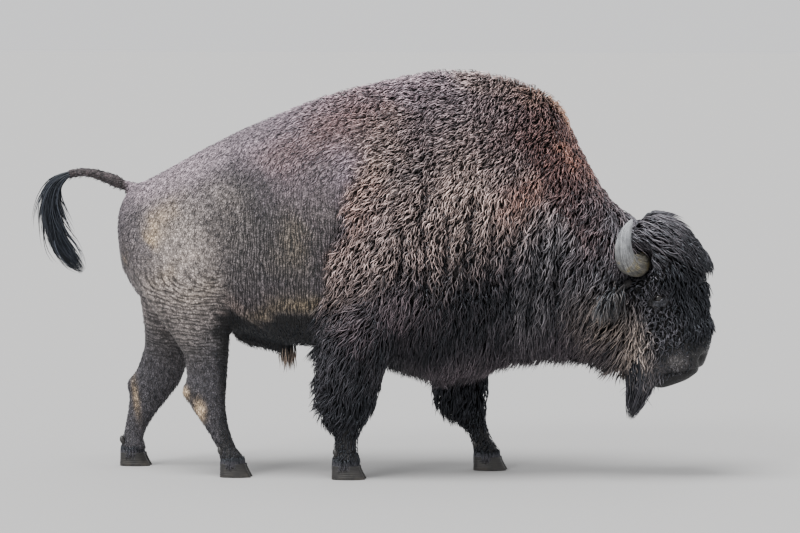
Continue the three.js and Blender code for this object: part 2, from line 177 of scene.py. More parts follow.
# The head hangs from the poll; its own frame has x out of the forehead and z towards the crown.
POLL = np.array((1.208, 0.0, 1.108))
FACE_TILT = math.radians(20)
HEAD_TURN = math.radians(-4)
turn_about_z = np.array(((math.cos(HEAD_TURN), -math.sin(HEAD_TURN), 0.0),
                         (math.sin(HEAD_TURN), math.cos(HEAD_TURN), 0.0),
                         (0.0, 0.0, 1.0)))
tilt_about_y = np.array(((math.cos(FACE_TILT), 0.0, -math.sin(FACE_TILT)),
                         (0.0, 1.0, 0.0),
                         (math.sin(FACE_TILT), 0.0, math.cos(FACE_TILT))))
HEAD_AXES = turn_about_z @ tilt_about_y  # columns: out of the forehead, to the left, towards the crown


def in_head(x, y, z):
    """Coordinates in the head's frame: the transpose of its axes times the way from the poll."""
    way = (x - POLL[0], y - POLL[1], z - POLL[2])
    return [sum(HEAD_AXES[k, axis] * way[k] for k in range(3)) for axis in range(3)]


def from_head(points):
    """Points of the head's frame in the animal's."""
    return np.asarray(points) @ HEAD_AXES.T + POLL


# Markings, edges and the lie of the hair are laid out in the side view from the camera's quarter: there a
# place on the bulging flank stands a little further back and lower than one on the mid-plane.
VIEW_SHIFT = (math.cos(VIEW_AZIMUTH), math.sin(VIEW_AZIMUTH), math.sin(VIEW_ELEVATION))


def side_view(x, y, z):
    """x and z in the side view: x cos a - |y| sin a and z - |y| sin e, alike on both sides of the animal."""
    return x * VIEW_SHIFT[0] - np.abs(y) * VIEW_SHIFT[1], z - np.abs(y) * VIEW_SHIFT[2]


# The wool's rear edge: at each height the x of its middle and how far the long hair shortens to each side
# of it. On the ribs it ends in a step, along the back it runs out over half a metre.
CAPE_EDGE_Z = (0.50, 0.78, 1.10, 1.29, 1.43, 1.50, 1.60, 1.80)
CAPE_EDGE_X = (-0.240, -0.225, -0.150, -0.100, -0.040, -0.040, -0.140, -0.150)
CAPE_FADE = (0.040, 0.030, 0.030, 0.040, 0.080, 0.180, 0.260, 0.320)


def cape(x, y, z):
    """1 where the long wool lies, 0 on belly, flank and quarters: a smooth step over the rear edge, which two
    sines of the height make waver."""
    x, z = side_view(x, y, z)
    edge = np.interp(z, CAPE_EDGE_Z, CAPE_EDGE_X) + 0.010 * np.sin(24 * z) + 0.007 * np.sin(61 * z + 1)
    fade = np.interp(z, CAPE_EDGE_Z, CAPE_FADE)
    return smooth((x - edge) / fade, -1.0, 1.0)


# Furrows between the bundles of wool on shoulder and ribs: three or four places down each, in the side view.
FURROWS = (
    ((0.268, 1.336), (0.223, 1.177), (0.245, 0.960), (0.250, 0.830)),
    ((0.459, 1.300), (0.436, 1.105), (0.414, 0.959), (0.418, 0.827)),
    ((0.568, 1.177), (0.532, 1.059), (0.514, 0.923), (0.505, 0.840)),
    ((0.668, 1.177), (0.618, 1.032), (0.605, 0.886), (0.618, 0.777)),
    ((0.768, 1.177), (0.732, 0.959), (0.714, 0.814), (0.700, 0.740)),
    ((0.150, 1.150), (0.140, 1.020), (0.120, 0.900), (0.120, 0.860)),
    ((0.360, 1.240), (0.335, 1.090), (0.325, 0.960), (0.330, 0.880)),
    ((0.860, 1.120), (0.835, 0.980), (0.820, 0.860), (0.820, 0.780)),
)
FURROW_WIDTH = 0.020


def furrow(x, y, z):
    """1 along the middle of each furrow, exp(-d^2 / 2 w^2) across it, running out at its ends; the middle
    runs through the furrow's places and wavers by a sine of the height."""
    x, z = side_view(x, y, z)
    deep = 0.0
    for places in FURROWS:
        down = np.array(places)[::-1]
        middle = np.interp(z, down[:, 1], down[:, 0]) + 0.006 * np.sin(45 * z + 9 * down[0, 0])
        low, high = down[0, 1], down[-1, 1]
        ends = smooth(z, low - 0.04, low + 0.05) * smooth(z, high + 0.03, high - 0.09)
        deep = np.maximum(deep, ends * np.exp(-0.5 * ((x - middle) / FURROW_WIDTH) ** 2))
    return deep


DEEP_FRINGE = -0.20  # the hollow under the crown's mop reaches down to this height at the temples
ROOT_FRINGE = -0.12  # and the roots of its hair to this
FRINGE_DROP = 0.125  # how much lower both lie on the forehead


def fringe_drop(hx):
    """How far the fringe has dropped at a place: a smooth step from the temples to the forehead."""
    return FRINGE_DROP * smooth(hx, 0.08, 0.20)


def crown_share(hx, hz, fringe):
    """1 on the mop of the crown, 0 behind the horns and below its fringe, whose height in the head's frame
    is given at the temples."""
    edge = fringe - fringe_drop(hx)
    return smooth(hz - edge, -0.02, 0.04) * smooth(hx, -0.16, -0.08) * smooth(hz, 0.16, 0.10)


# How deep the coat lies on each region, in metres.
SHORT_DEPTH = 0.007
WOOL_DEPTH = 0.031
BREAST_DEPTH = 0.008  # on top of the wool's, over neck and breast
CHEEK_DEPTH = 0.034
FACE_DEPTH = 0.017
BROW_DEPTH = 0.021  # on top of the face's
CROWN_DEPTH = 0.058
MUZZLE_DEPTH = 0.004
DOCK_DEPTH = 0.002


def coat_depth(x, y, z):
    """How deep the coat lies on the hide: each region's depth, blended into the others' by a smooth step."""
    hx, _, hz = in_head(x, y, z)
    head = smooth(x, 1.12, 1.26)
    muzzle = smooth(hz, -0.44, -0.58)
    face = smooth(hx, -0.16, -0.02)
    wool = cape(x + 0.02 * smooth(z, 0.80, 1.00), y, z)
    knees = smooth(z, 0.20, 0.36)
    depth = SHORT_DEPTH + (WOOL_DEPTH - SHORT_DEPTH) * wool * knees
    depth = depth + BREAST_DEPTH * smooth(x, 0.5, 0.9) * wool * smooth(z, 0.5, 0.8)
    on_head = CHEEK_DEPTH + (FACE_DEPTH - CHEEK_DEPTH) * face
    on_head = on_head + BROW_DEPTH * smooth(hx, 0.06, 0.13) * smooth(hz, -0.54, -0.44)
    on_head = on_head + (CROWN_DEPTH - on_head) * crown_share(hx, hz, DEEP_FRINGE)
    on_head = on_head + (MUZZLE_DEPTH - on_head) * muzzle
    depth = depth + (DOCK_DEPTH - depth) * smooth(x, -1.10, -1.20) * smooth(z, 1.18, 1.24)
    return depth + (on_head - depth) * head


# The solids' flat facets are rounded off: most on the trunk, less on legs and head, not at all on the dock.
TRUNK_BLUR = 0.030
LIMB_BLUR = 0.011

x, y, z = field.places()
soft = blur(distance, TRUNK_BLUR / VOXEL)
fine = blur(distance, LIMB_BLUR / VOXEL)
on_trunk = smooth(z, 0.55, 0.80) * smooth(x, 1.16, 1.06) * smooth(x, -1.12, -1.04)
body = fine + (soft - fine) * on_trunk
on_dock = smooth(x, -1.12, -1.20) * smooth(z, 1.20, 1.26)
body = body + (distance - body) * on_dock
skin_points, skin_quads = field.surface(body + coat_depth(x, y, z))

hide_mesh = bpy.data.meshes.new("hide")
hide_mesh.from_pydata(skin_points.tolist(), [], skin_quads.tolist())

# Muzzle and eyes get a finer net, for nostrils, lips and lids.
EYE = np.array((0.008, 0.133, -0.303))  # the left eyeball's centre in the head's frame
EYE_RADIUS = 0.023
NOSTRIL = np.array((0.088, 0.050, -0.628))
BREAST = 1.0  # the head lies ahead of this x, and the legs behind it
SPLITS = ((-0.50, 0.075), (-0.575, 0.060))  # below this height in the head's frame, and this near an eye


def to_eyes(hx, hy, hz, stretch=1.0, lower=0.0):
    """The way to the nearer eyeball's centre in the head's frame: the root of the squares' sum, with x
    divided by a stretch, and z counted from a centre a little lower."""
    return np.sqrt(((hx - EYE[0]) / stretch) ** 2 + (np.abs(hy) - EYE[1]) ** 2 + (hz - EYE[2] + lower) ** 2)


def corners_of(mesh):
    """A mesh's corners as an array."""
    return read(mesh.vertices, "co", 3)


def normals_of(mesh):
    """The corners' smooth normals as an array."""
    return read(mesh.vertices, "normal", 3)


for below, reach in SPLITS:
    net = bmesh.new()
    net.from_mesh(hide_mesh)
    net.verts.ensure_lookup_table()
    places = corners_of(hide_mesh)
    hx, hy, hz = in_head(*places.T)
    wanted = (places[:, 0] > BREAST) & ((hz < below) | (to_eyes(hx, hy, hz) < reach))
    edges = [edge for edge in net.edges if all(wanted[corner.index] for corner in edge.verts)]
    bmesh.ops.subdivide_edges(net, edges=edges, cuts=1, use_grid_fill=True)
    bmesh.ops.triangulate(net, faces=[face for face in net.faces if len(face.verts) > 4])
    net.to_mesh(hide_mesh)
    net.free()
hide_mesh.shade_smooth()


def swelling(points, centre, radii, height):
    """height * exp(-r^2 / 2) round a centre, r counted in radii; the same on both sides of the animal."""
    way = (points * (1, 0, 1) + np.abs(points) * (0, 1, 0) - centre) / radii
    return height * np.exp(-0.5 * np.sum(way ** 2, axis=1))


# Bones and muscles under the short coat: centre, radii and height in metres, of the left side.
SWELLINGS = (
    ((-0.735, 0.245, 1.405), (0.060, 0.080, 0.045), 0.012),   # point of the hip
    ((-0.900, 0.200, 1.330), (0.120, 0.080, 0.035), 0.006),   # from the hip back to the pin bone
    ((-1.115, 0.110, 1.205), (0.045, 0.060, 0.055), 0.010),   # pin bone
    ((-0.640, 0.330, 1.230), (0.075, 0.100, 0.110), -0.012),  # hollow before the hip
    ((-0.655, 0.320, 0.985), (0.038, 0.120, 0.140), -0.014),  # crease of the flank
    ((-0.930, 0.300, 0.980), (0.120, 0.100, 0.150), 0.012),   # thigh
    ((-0.735, 0.280, 0.870), (0.060, 0.100, 0.090), 0.010),   # stifle
    ((-0.430, 0.400, 0.800), (0.200, 0.120, 0.110), 0.008),   # paunch
    ((-0.780, 0.220, 0.395), (0.060, 0.050, 0.022), 0.004),   # hock of the right leg
    ((-1.130, 0.220, 0.395), (0.060, 0.050, 0.022), 0.004),   # hock of the left leg
    ((-0.825, 0.215, 0.380), (0.024, 0.045, 0.030), 0.020),   # point of the right hock
    ((-1.165, 0.215, 0.380), (0.024, 0.045, 0.030), 0.016),   # point of the left hock
    ((-0.800, 0.240, 0.480), (0.030, 0.020, 0.060), -0.008),  # hollow before the right hamstring
    ((-1.130, 0.240, 0.480), (0.030, 0.020, 0.060), -0.008),  # hollow before the left hamstring
)
places = corners_of(hide_mesh)
normals = normals_of(hide_mesh)
lift = sum(swelling(places, np.array(centre), np.array(radii), height) for centre, radii, height in SWELLINGS)

DOCK_LIFT = 0.008
CORONET_LIFT = 0.010  # brings the coronets out to the width of the hooves
lift += DOCK_LIFT * smooth(places[:, 0], -1.14, -1.19) * smooth(places[:, 2], 1.22, 1.27)
lift += CORONET_LIFT * smooth(places[:, 2], 0.135, 0.085)

# Slanting folds across the back of the thigh, where the hide bunches at each step.
FOLD_SPACING = 0.042
FOLD_HEIGHT = 0.0028
FOLD_SLANT = 0.25
fold_phase = (places[:, 2] - FOLD_SLANT * (places[:, 0] + 0.9)) / FOLD_SPACING
thigh_back = swelling(places, np.array((-0.93, 0.26, 0.80)), np.array((0.12, 0.14, 0.10)), 1.0)
lift += FOLD_HEIGHT * thigh_back * np.sin(2 * math.pi * fold_phase)

# Nostrils, the groove between the lips, the slit under the nose and the furrows of the wool, each a swelling
# or groove of exp(-r^2 / 2). A nostril slants: its long way goes four across to three up.
NOSTRIL_LONG = 0.020
NOSTRIL_SHORT = 0.011
NOSTRIL_DEPTH = 0.026
RIM_RADIUS = 0.034
RIM_HEIGHT = 0.007
LIP_DEPTH = 0.009
LIP_WIDTH = 0.0055
SLIT = 0.004  # depth and width of the slit under the nose
FURROW_DEPTH = 0.022
hx, hy, hz = in_head(*places.T)
aside = np.abs(hy)
in_nostril = np.exp(-0.5 * (((hx - NOSTRIL[0]) * 0.8 + (hz - NOSTRIL[2]) * 0.6) / NOSTRIL_LONG) ** 2
                    - 0.5 * (((hz - NOSTRIL[2]) * 0.8 - (hx - NOSTRIL[0]) * 0.6) / NOSTRIL_SHORT) ** 2
                    - 0.5 * ((aside - NOSTRIL[1]) / NOSTRIL_LONG) ** 2)
nostril_rim = np.exp(-0.5 * (((hx - NOSTRIL[0]) ** 2 + (hz - NOSTRIL[2]) ** 2) / RIM_RADIUS ** 2
                             + ((aside - NOSTRIL[1]) / RIM_RADIUS) ** 2))
lift += RIM_HEIGHT * nostril_rim - NOSTRIL_DEPTH * in_nostril
lip_level = -0.664 + 0.16 * (0.03 - hx)
on_lips = smooth(hx, -0.13, -0.08) * smooth(hz, -0.58, -0.62) * (places[:, 0] > BREAST)
lift -= LIP_DEPTH * on_lips * np.exp(-0.5 * ((hz - lip_level) / LIP_WIDTH) ** 2)
lift -= SLIT * smooth(hx, 0.03, 0.06) * np.exp(-0.5 * (hy / SLIT) ** 2) * smooth(hz, -0.60, -0.63)
lift -= FURROW_DEPTH * furrow(*places.T)
places += normals * lift[:, None]

# Round each eye the hide sinks behind the ball; the lids, two thick folds, are set on it below.
SOCKET_DEPTH = 0.024
hx, hy, hz = in_head(*places.T)
side = np.sign(hy)
away = np.stack((hx - EYE[0], hy - side * EYE[1], hz - EYE[2]), axis=1)
gone = np.linalg.norm(away, axis=1)
sunk = smooth(np.hypot(away[:, 0], away[:, 2]), 0.034, 0.016) * (gone < 0.06)
places -= sunk[:, None] * side[:, None] * HEAD_AXES[:, 1] * SOCKET_DEPTH
hide_mesh.vertices.foreach_set("co", places.ravel())


def round_about(columns):
    """Even angles round a full turn, as one row."""
    return np.linspace(0, 2 * math.pi, columns, endpoint=False)[None, :]


def grid_faces(rows, columns):
    """Quads between neighbouring points of rows of columns, each row closed to a ring."""
    row = np.arange(rows - 1)[:, None] * columns
    here = np.arange(columns)[None, :]
    after = (here + 1) % columns
    quads = np.stack((row + here, row + after, row + columns + after, row + columns + here), axis=-1)
    return quads.reshape(-1, 4)


LID_ROWS = 12
LID_COLUMNS = 56
LID_THICK = 0.003
OPENING_HALF = 0.0225  # from the middle of the slit to its corners
OPENING_UP = 0.0125
OPENING_DOWN = 0.0115
LID_FOLD = 0.004


def eyelids(side):
    """The lids of one eye in the head's frame: points and quads.

    Round the ball's axis at angle t the opening is an almond, cos t fore and aft and |sin t|^1.5 up and down.
    From its edge the lid rolls out over the ball, root of (radius + thickness)^2 - r^2, swells to a fold by
    half a sine and runs out flat under the hide.
    """
    turn = round_about(LID_COLUMNS)
    run = np.linspace(0, 1, LID_ROWS)[:, None]
    upper = np.sin(turn) > 0
    steep = np.sign(np.sin(turn))
    high = np.where(upper, OPENING_UP, OPENING_DOWN) * steep * np.abs(np.sin(turn)) ** 1.5
    spread = 1 + 1.05 * run ** 1.2
    forward = OPENING_HALF * np.cos(turn) * spread
    upward = high * spread + steep * 0.012 * run * np.abs(np.sin(turn))
    flat = np.hypot(forward, upward)
    dome = np.sqrt(np.maximum((EYE_RADIUS + LID_THICK) ** 2 - flat ** 2, 0.0))
    fold = LID_FOLD * np.sin(math.pi * np.clip(run / 0.45, 0, 1)) - 0.012 * smooth(run, 0.55, 1.0)
    roll = -0.004 * smooth(run, 0.12, 0.0)
    out = np.maximum(dome, 0.006) + fold + roll
    points = np.stack((EYE[0] + forward, side * (EYE[1] + out), EYE[2] + upward), axis=-1).reshape(-1, 3)
    faces = grid_faces(LID_ROWS, LID_COLUMNS)
    return points, faces if side < 0 else faces[:, ::-1]


net = bmesh.new()
net.from_mesh(hide_mesh)
for _, side in SIDES:
    lid_points, lid_faces = eyelids(side)
    corners = [net.verts.new(point) for point in from_head(lid_points)]
    for face in lid_faces:
        net.faces.new([corners[k] for k in face]).smooth = True
net.to_mesh(hide_mesh)
net.free()
hide_mesh.update()

hide = bpy.data.objects.new("hide", hide_mesh)
bpy.context.scene.collection.objects.link(hide)
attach(hide, "root")
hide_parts(*FLESH)

# The hide is unwrapped once; every tuft takes its patch on the unwrapping from its root's place.
bpy.context.view_layer.objects.active = hide
hide.select_set(True)
hide_mesh.uv_layers.new(name="OFBake")
bpy.ops.object.mode_set(mode="EDIT")
bpy.ops.mesh.select_all(action="SELECT")
bpy.ops.uv.smart_project(angle_limit=math.radians(66), island_margin=0.002)
bpy.ops.object.mode_set(mode="OBJECT")
hide.select_set(False)

# ---- The colours of the coat ----
# Dark woolly brown in front with sun-bleached tan tips, near-black beard and trousers, and a short
# grey-brown coat behind. The hair is as it grew; hide and tufts take their colour from the same function of
# the place on the animal, which also paints some sheen and shade into it where noted.

BLACK = np.array((0.009, 0.0085, 0.010))
SOOT = np.array((0.040, 0.037, 0.042))
WOOL_BROWN = np.array((0.135, 0.102, 0.112))
DARK_BROWN = np.array((0.072, 0.058, 0.064))
RUST = np.array((0.245, 0.115, 0.085))
DEEP_RUST = np.array((0.110, 0.053, 0.045))
ORANGE = np.array((0.420, 0.240, 0.140))
TAN = np.array((0.415, 0.310, 0.270))
ASH = np.array((0.170, 0.160, 0.170))
MAUVE_BROWN = np.array((0.290, 0.225, 0.265))
DARK_GREY = np.array((0.072, 0.064, 0.070))
THIGH_TAN = np.array((0.340, 0.290, 0.265))
OCHRE = np.array((0.380, 0.280, 0.180))
DULL_MAUVE = np.array((0.155, 0.128, 0.148))
DUSTY_BLACK = np.array((0.135, 0.124, 0.130))
EARTH = np.array((0.170, 0.135, 0.110))
# Painted shadow that the cape's overhanging edge casts on the flank.
CAPE_EDGE_SHADOW = np.array((0.150, 0.120, 0.128))
# Painted sheen of the light from above, along the top of the rump.
PAINTED_SHEEN_MAUVE = np.array((0.390, 0.310, 0.350))
CLAY = np.array((0.260, 0.210, 0.150))
STRAW = np.array((0.290, 0.225, 0.140))
DOCK_BROWN = np.array((0.048, 0.037, 0.039))
CROWN_GREY = np.array((0.074, 0.067, 0.074))
CHEEK_TAN = np.array((0.400, 0.325, 0.275))
LIP_GREY = np.array((0.135, 0.125, 0.125))
LID_BLACK = np.array((0.016, 0.016, 0.018))
LID_GREY = np.array((0.105, 0.107, 0.122))

# Patches of colour in the side view: x and z of the middle, half-length and half-width, the long way's
# angle from +X in degrees, colour and share.
WOOL_PATCHES = (
    (0.49, 1.57, 0.34, 0.10, 0, DARK_BROWN, 0.20),
    (0.20, 1.66, 0.24, 0.07, 12, DULL_MAUVE, 0.60),
    (-0.05, 1.51, 0.14, 0.06, 35, TAN, 0.45),
    (-0.17, 1.56, 0.24, 0.10, 30, RUST, 0.50),
    (0.00, 1.41, 0.13, 0.075, 42, TAN, 0.85),
    (-0.08, 1.18, 0.15, 0.05, 70, RUST, 0.50),
    (0.10, 1.24, 0.12, 0.12, 45, TAN, 0.45),
    (0.20, 1.37, 0.075, 0.06, 30, SOOT, 0.60),
    (0.42, 1.20, 0.24, 0.14, 80, TAN, 0.80),
    (0.655, 1.25, 0.10, 0.05, 45, RUST, 0.90),
    (0.66, 1.16, 0.10, 0.09, 60, TAN, 0.40),
    (0.055, 0.97, 0.18, 0.12, 20, TAN, 0.50),
    (-0.01, 0.83, 0.11, 0.045, -10, TAN, 0.70),
    (0.33, 0.88, 0.05, 0.08, 80, TAN, 0.45),
    (0.80, 0.96, 0.18, 0.07, 75, ASH, 0.60),
    (1.03, 0.86, 0.13, 0.05, 75, ASH, 0.50),
    # painted sheen along the top of the hump
    (0.24, 1.80, 0.28, 0.06, 8, MAUVE_BROWN, 0.60),
    (0.60, 1.790, 0.26, 0.055, -10, TAN, 0.60),
    (0.82, 1.42, 0.30, 0.11, -68, DEEP_RUST, 0.85),
    (0.87, 1.70, 0.15, 0.055, -45, ORANGE, 1.00),
    (0.93, 1.50, 0.17, 0.040, -68, RUST, 0.75),
    (0.75, 1.00, 0.17, 0.06, 80, ASH, 0.75),
    (0.99, 1.24, 0.08, 0.06, -60, DARK_BROWN, 0.80),
)
# Laid on last, where the wool is sooty or black.
LOW_PATCHES = (
    (0.38, 0.82, 0.22, 0.08, 0, BLACK * 0.3, 0.92),
    (0.44, 1.00, 0.12, 0.06, 90, SOOT, 0.50),
    (0.10, 0.78, 0.13, 0.07, 15, WOOL_BROWN, 0.60),
    (-0.17, 0.62, 0.06, 0.16, 0, SOOT, 0.90),
    (0.50, 0.55, 0.28, 0.05, 5, DARK_BROWN, 0.90),
    (-0.12, 1.03, 0.14, 0.05, 85, TAN, 0.28),
    (0.95, 0.67, 0.27, 0.07, -5, DARK_BROWN, 0.50),
    (1.04, 0.90, 0.08, 0.08, 0, ASH, 0.40),
    (0.66, 0.85, 0.06, 0.06, 0, BLACK, 0.70),
    (0.75, 0.92, 0.14, 0.050, 82, DUSTY_BLACK, 0.75),
    (0.60, 1.00, 0.17, 0.035, 85, SOOT, 0.60),
    (1.04, 0.73, 0.10, 0.050, -35, EARTH, 0.65),
)
REAR_PATCHES = (
    (-0.25, 1.53, 0.20, 0.08, 35, RUST * 1.3, 0.45),
    (-0.54, 1.27, 0.24, 0.09, 10, DARK_GREY, 0.45),
    # painted shade in the hollow before the hip
    (-0.66, 1.27, 0.24, 0.080, 82, DARK_GREY, 0.60),
    # painted shadow on the flank just behind the cape's edge
    (-0.22, 1.22, 0.22, 0.080, 95, CAPE_EDGE_SHADOW, 0.65),
    (-0.74, 1.20, 0.18, 0.09, 60, DARK_GREY, 0.45),
    # painted shade down the crease between flank and thigh
    (-0.64, 1.09, 0.18, 0.060, 80, DARK_GREY * 0.45, 0.92),
    (-0.42, 1.02, 0.20, 0.17, 0, DARK_GREY * 0.55, 0.65),
    (-0.47, 1.43, 0.26, 0.08, 25, DARK_GREY, 0.30),
    # painted shade down the crease between flank and thigh
    (-0.60, 0.98, 0.13, 0.07, 80, DARK_GREY, 0.60),
    # painted sheen along the top of the rump
    (-0.84, 1.385, 0.18, 0.04, 27, PAINTED_SHEEN_MAUVE, 0.60),
    (-0.89, 1.03, 0.17, 0.13, 60, THIGH_TAN, 0.95),
    (-0.98, 1.12, 0.07, 0.035, 60, OCHRE * 1.1, 0.70),
    (-1.045, 1.03, 0.035, 0.025, 60, OCHRE * 1.1, 0.90),
    (-0.90, 0.91, 0.045, 0.030, 30, OCHRE * 1.1, 0.70),
    (-0.80, 0.83, 0.055, 0.032, 20, OCHRE * 1.1, 0.75),
    (-0.36, 1.04, 0.11, 0.07, 80, CLAY, 0.45),
    (-0.34, 0.755, 0.15, 0.030, 8, STRAW, 0.65),
    (-0.60, 0.78, 0.05, 0.030, 0, TAN, 0.40),
    (-0.86, 0.84, 0.17, 0.10, 30, THIGH_TAN, 0.75),
    (-1.10, 1.06, 0.03, 0.14, 5, DARK_GREY, 0.45),
    (-0.82, 0.74, 0.14, 0.08, 70, THIGH_TAN, 0.50),
    (-0.785, 0.290, 0.015, 0.028, 10, OCHRE * 2.1, 1.00),
    (-0.852, 0.366, 0.012, 0.018, 20, OCHRE * 1.7, 0.95),
    (-1.140, 0.310, 0.010, 0.055, 8, OCHRE, 0.80),
)
chance = np.random.default_rng(12)  # all random draws come from here, in the order of the file
WAVES = 8


class Mottle:
    """A smooth random field of one size: the sum of eight sine waves in random directions, about -1 to 1."""

    def __init__(self, size):
        ways = chance.normal(size=(WAVES, 3))
        self.waves = ways / np.linalg.norm(ways, axis=1)[:, None] * 2 * math.pi / size
        self.waves *= chance.uniform(0.6, 1.5, (WAVES, 1))
        self.phases = chance.uniform(0, 2 * math.pi, WAVES)

    def at(self, points):
        """The field at points: the sum of sin(wave . point + phase), divided by 3."""
        return np.sin(points @ self.waves.T + self.phases).sum(axis=1) / 3.0


broad_mottle = Mottle(0.30)
hand_mottle = Mottle(0.09)
thumb_mottle = Mottle(0.034)
nail_mottle = Mottle(0.015)


def blend_colours(colours, new, share):
    """colours moved towards a new colour by a share of each."""
    return colours + (new - colours) * share[:, None]


def marked(colours, x, z, patches):
    """colours with patches laid on in turn, each by its share of exp(-r^2 / 2), r counted in its radii."""
    for mid_x, mid_z, long, short, angle, colour, share in patches:
        level, steep = math.cos(math.radians(angle)), math.sin(math.radians(angle))
        along = ((x - mid_x) * level + (z - mid_z) * steep) / long
        across = ((z - mid_z) * level - (x - mid_x) * steep) / short
        colours = blend_colours(colours, colour, share * np.exp(-0.5 * (along ** 2 + across ** 2)))
    return colours


def head_colours(hx, hy, hz):
    """The coat's colour at places of the head's frame: soot, darker down the face, with a greyer crown, tan
    cheeks, black nose and lips and bare lids, each blended in by a smooth step or exp(-r^2 / 2)."""
    head = np.broadcast_to(SOOT, (len(hx), 3))
    head = blend_colours(head, BLACK, smooth(hx, 0.0, 0.10))
    crown = CROWN_GREY * (1 - 0.80 * smooth(hx, 0.04, 0.15))[:, None]
    head = head + (crown - head) * crown_share(hx, hz, ROOT_FRINGE)[:, None]
    cheek = np.exp(-0.5 * (((hx + 0.190) / 0.090) ** 2 + ((hz + 0.420) / 0.090) ** 2))
    head = blend_colours(head, CHEEK_TAN, 0.85 * cheek * smooth(hx, -0.04, -0.14))
    head = blend_colours(head, BLACK, 0.80 * smooth(hz, -0.49, -0.56) * smooth(hx, -0.13, -0.06))
    lip = np.exp(-0.5 * (((hx + 0.015) / 0.026) ** 2 + ((hz + 0.600) / 0.026) ** 2))
    head = blend_colours(head, LIP_GREY, 0.9 * lip)
    nose = smooth(hx, 0.035, 0.065) * smooth(hz, -0.54, -0.57)
    head = blend_colours(head, BLACK * 0.7, np.maximum(nose, smooth(hz, -0.645, -0.665)))
    to_eye = to_eyes(hx, hy, hz, lower=0.004)
    head = blend_colours(head, LID_BLACK, 0.85 * smooth(to_eye, 0.044, 0.036))
    lower_lid = smooth(to_eye, 0.039, 0.033) * smooth(hz, EYE[2] - 0.002, EYE[2] - 0.010)
    head = blend_colours(head, LID_GREY, 0.95 * lower_lid)
    # Painted shade: the nostrils are painted almost black inside.
    in_nostril = np.exp(-0.5 * ((hx - NOSTRIL[0]) ** 2 + (hz - NOSTRIL[2]) ** 2
                                + (np.abs(hy) - NOSTRIL[1]) ** 2) / 0.014 ** 2)
    return blend_colours(head, BLACK * 0.1, np.clip(1.5 * in_nostril, 0, 1))


def coat_colours(points):
    """The coat's colour at places on the animal: quarters and cape each get a ground, darker with depth
    below the back, and their patches; then cape, dock and head are blended in by smooth steps of the place,
    and all is speckled, colour times 1 + two mottles."""
    x, y, z = points.T
    hx, hy, hz = in_head(x, y, z)
    uneven = (0.05 * broad_mottle.at(points) + 0.02 * hand_mottle.at(points)) * smooth(z, 0.40, 0.70)
    woolly = cape(x + 0.4 * uneven, y, z)
    sunk = furrow(x, y, z)
    x, z = side_view(x, y, z)
    x, z = x + uneven, z + 0.6 * uneven

    # The quarters' mauve ground is partly their own colour and partly painted sheen of the light from above;
    # it darkens to grey down the sides.
    rear = np.broadcast_to(MAUVE_BROWN, points.shape)
    rear = blend_colours(rear, DARK_GREY, 0.90 * smooth(z, 1.42, 1.10))
    rear = blend_colours(rear, SOOT * 1.3, smooth(z, 0.80, 0.60))
    wool = np.broadcast_to(WOOL_BROWN, points.shape)
    wool = blend_colours(wool, DARK_BROWN, smooth(x, 0.62, 0.95) * smooth(z, 1.50, 1.20))
    wool = marked(wool, x, z, WOOL_PATCHES)
    rear = marked(rear, x, z, REAR_PATCHES)
    # Painted shade: the underside of the belly, below a line along the flank's foot from the thigh forward,
    # is painted black.
    brink = 0.70 + 0.055 * smooth(x, -0.58, -0.65) + 0.07 * smooth(x, -0.32, -0.24)
    under = smooth(z - brink, 0.012, -0.020) * smooth(x, -0.72, -0.67) * (x < 0)
    rear = blend_colours(rear, BLACK, under)
    low = smooth(z - 0.10 * smooth(x, 0.55, 0.95) + 0.10 * smooth(x, 0.05, -0.15), 1.06, 0.80)
    wool = blend_colours(wool, SOOT, 0.85 * low)
    wool = blend_colours(wool, BLACK, smooth(z + 0.06 * smooth(x, 0.1, -0.1), 0.90, 0.66))
    wool = marked(wool, x, z, LOW_PATCHES)
    # Painted shade: the wool turns nearly black along the furrows between its bundles, which are also sunk.
    wool = blend_colours(wool, BLACK, 0.92 * sunk)
    colours = rear + (wool - rear) * woolly[:, None]
    colours = blend_colours(colours, DOCK_BROWN, smooth(x, -1.12, -1.19) * smooth(z, 1.2, 1.26))

    on_head = smooth(x + 0.15 * (z - 0.8), 1.05, 1.20)
    colours = colours + (head_colours(hx, hy, hz) - colours) * on_head[:, None]
    speckle = 1 + 0.18 * thumb_mottle.at(points) + 0.22 * nail_mottle.at(points)
    return colours * np.clip(speckle, 0.4, 1.8)[:, None]


class Maths:
    """A number on a socket of a material: sums and products of it add Math nodes."""

    def __init__(self, nodes, socket):
        self.nodes = nodes
        self.socket = socket

    def __add__(self, other):
        return self.nodes.maths("ADD", self, other)

    def __sub__(self, other):
        return self.nodes.maths("SUBTRACT", self, other)

    def __rsub__(self, other):
        return self.nodes.maths("SUBTRACT", other, self)

    def __mul__(self, other):
        return self.nodes.maths("MULTIPLY", self, other)

    __radd__ = __add__
    __rmul__ = __mul__


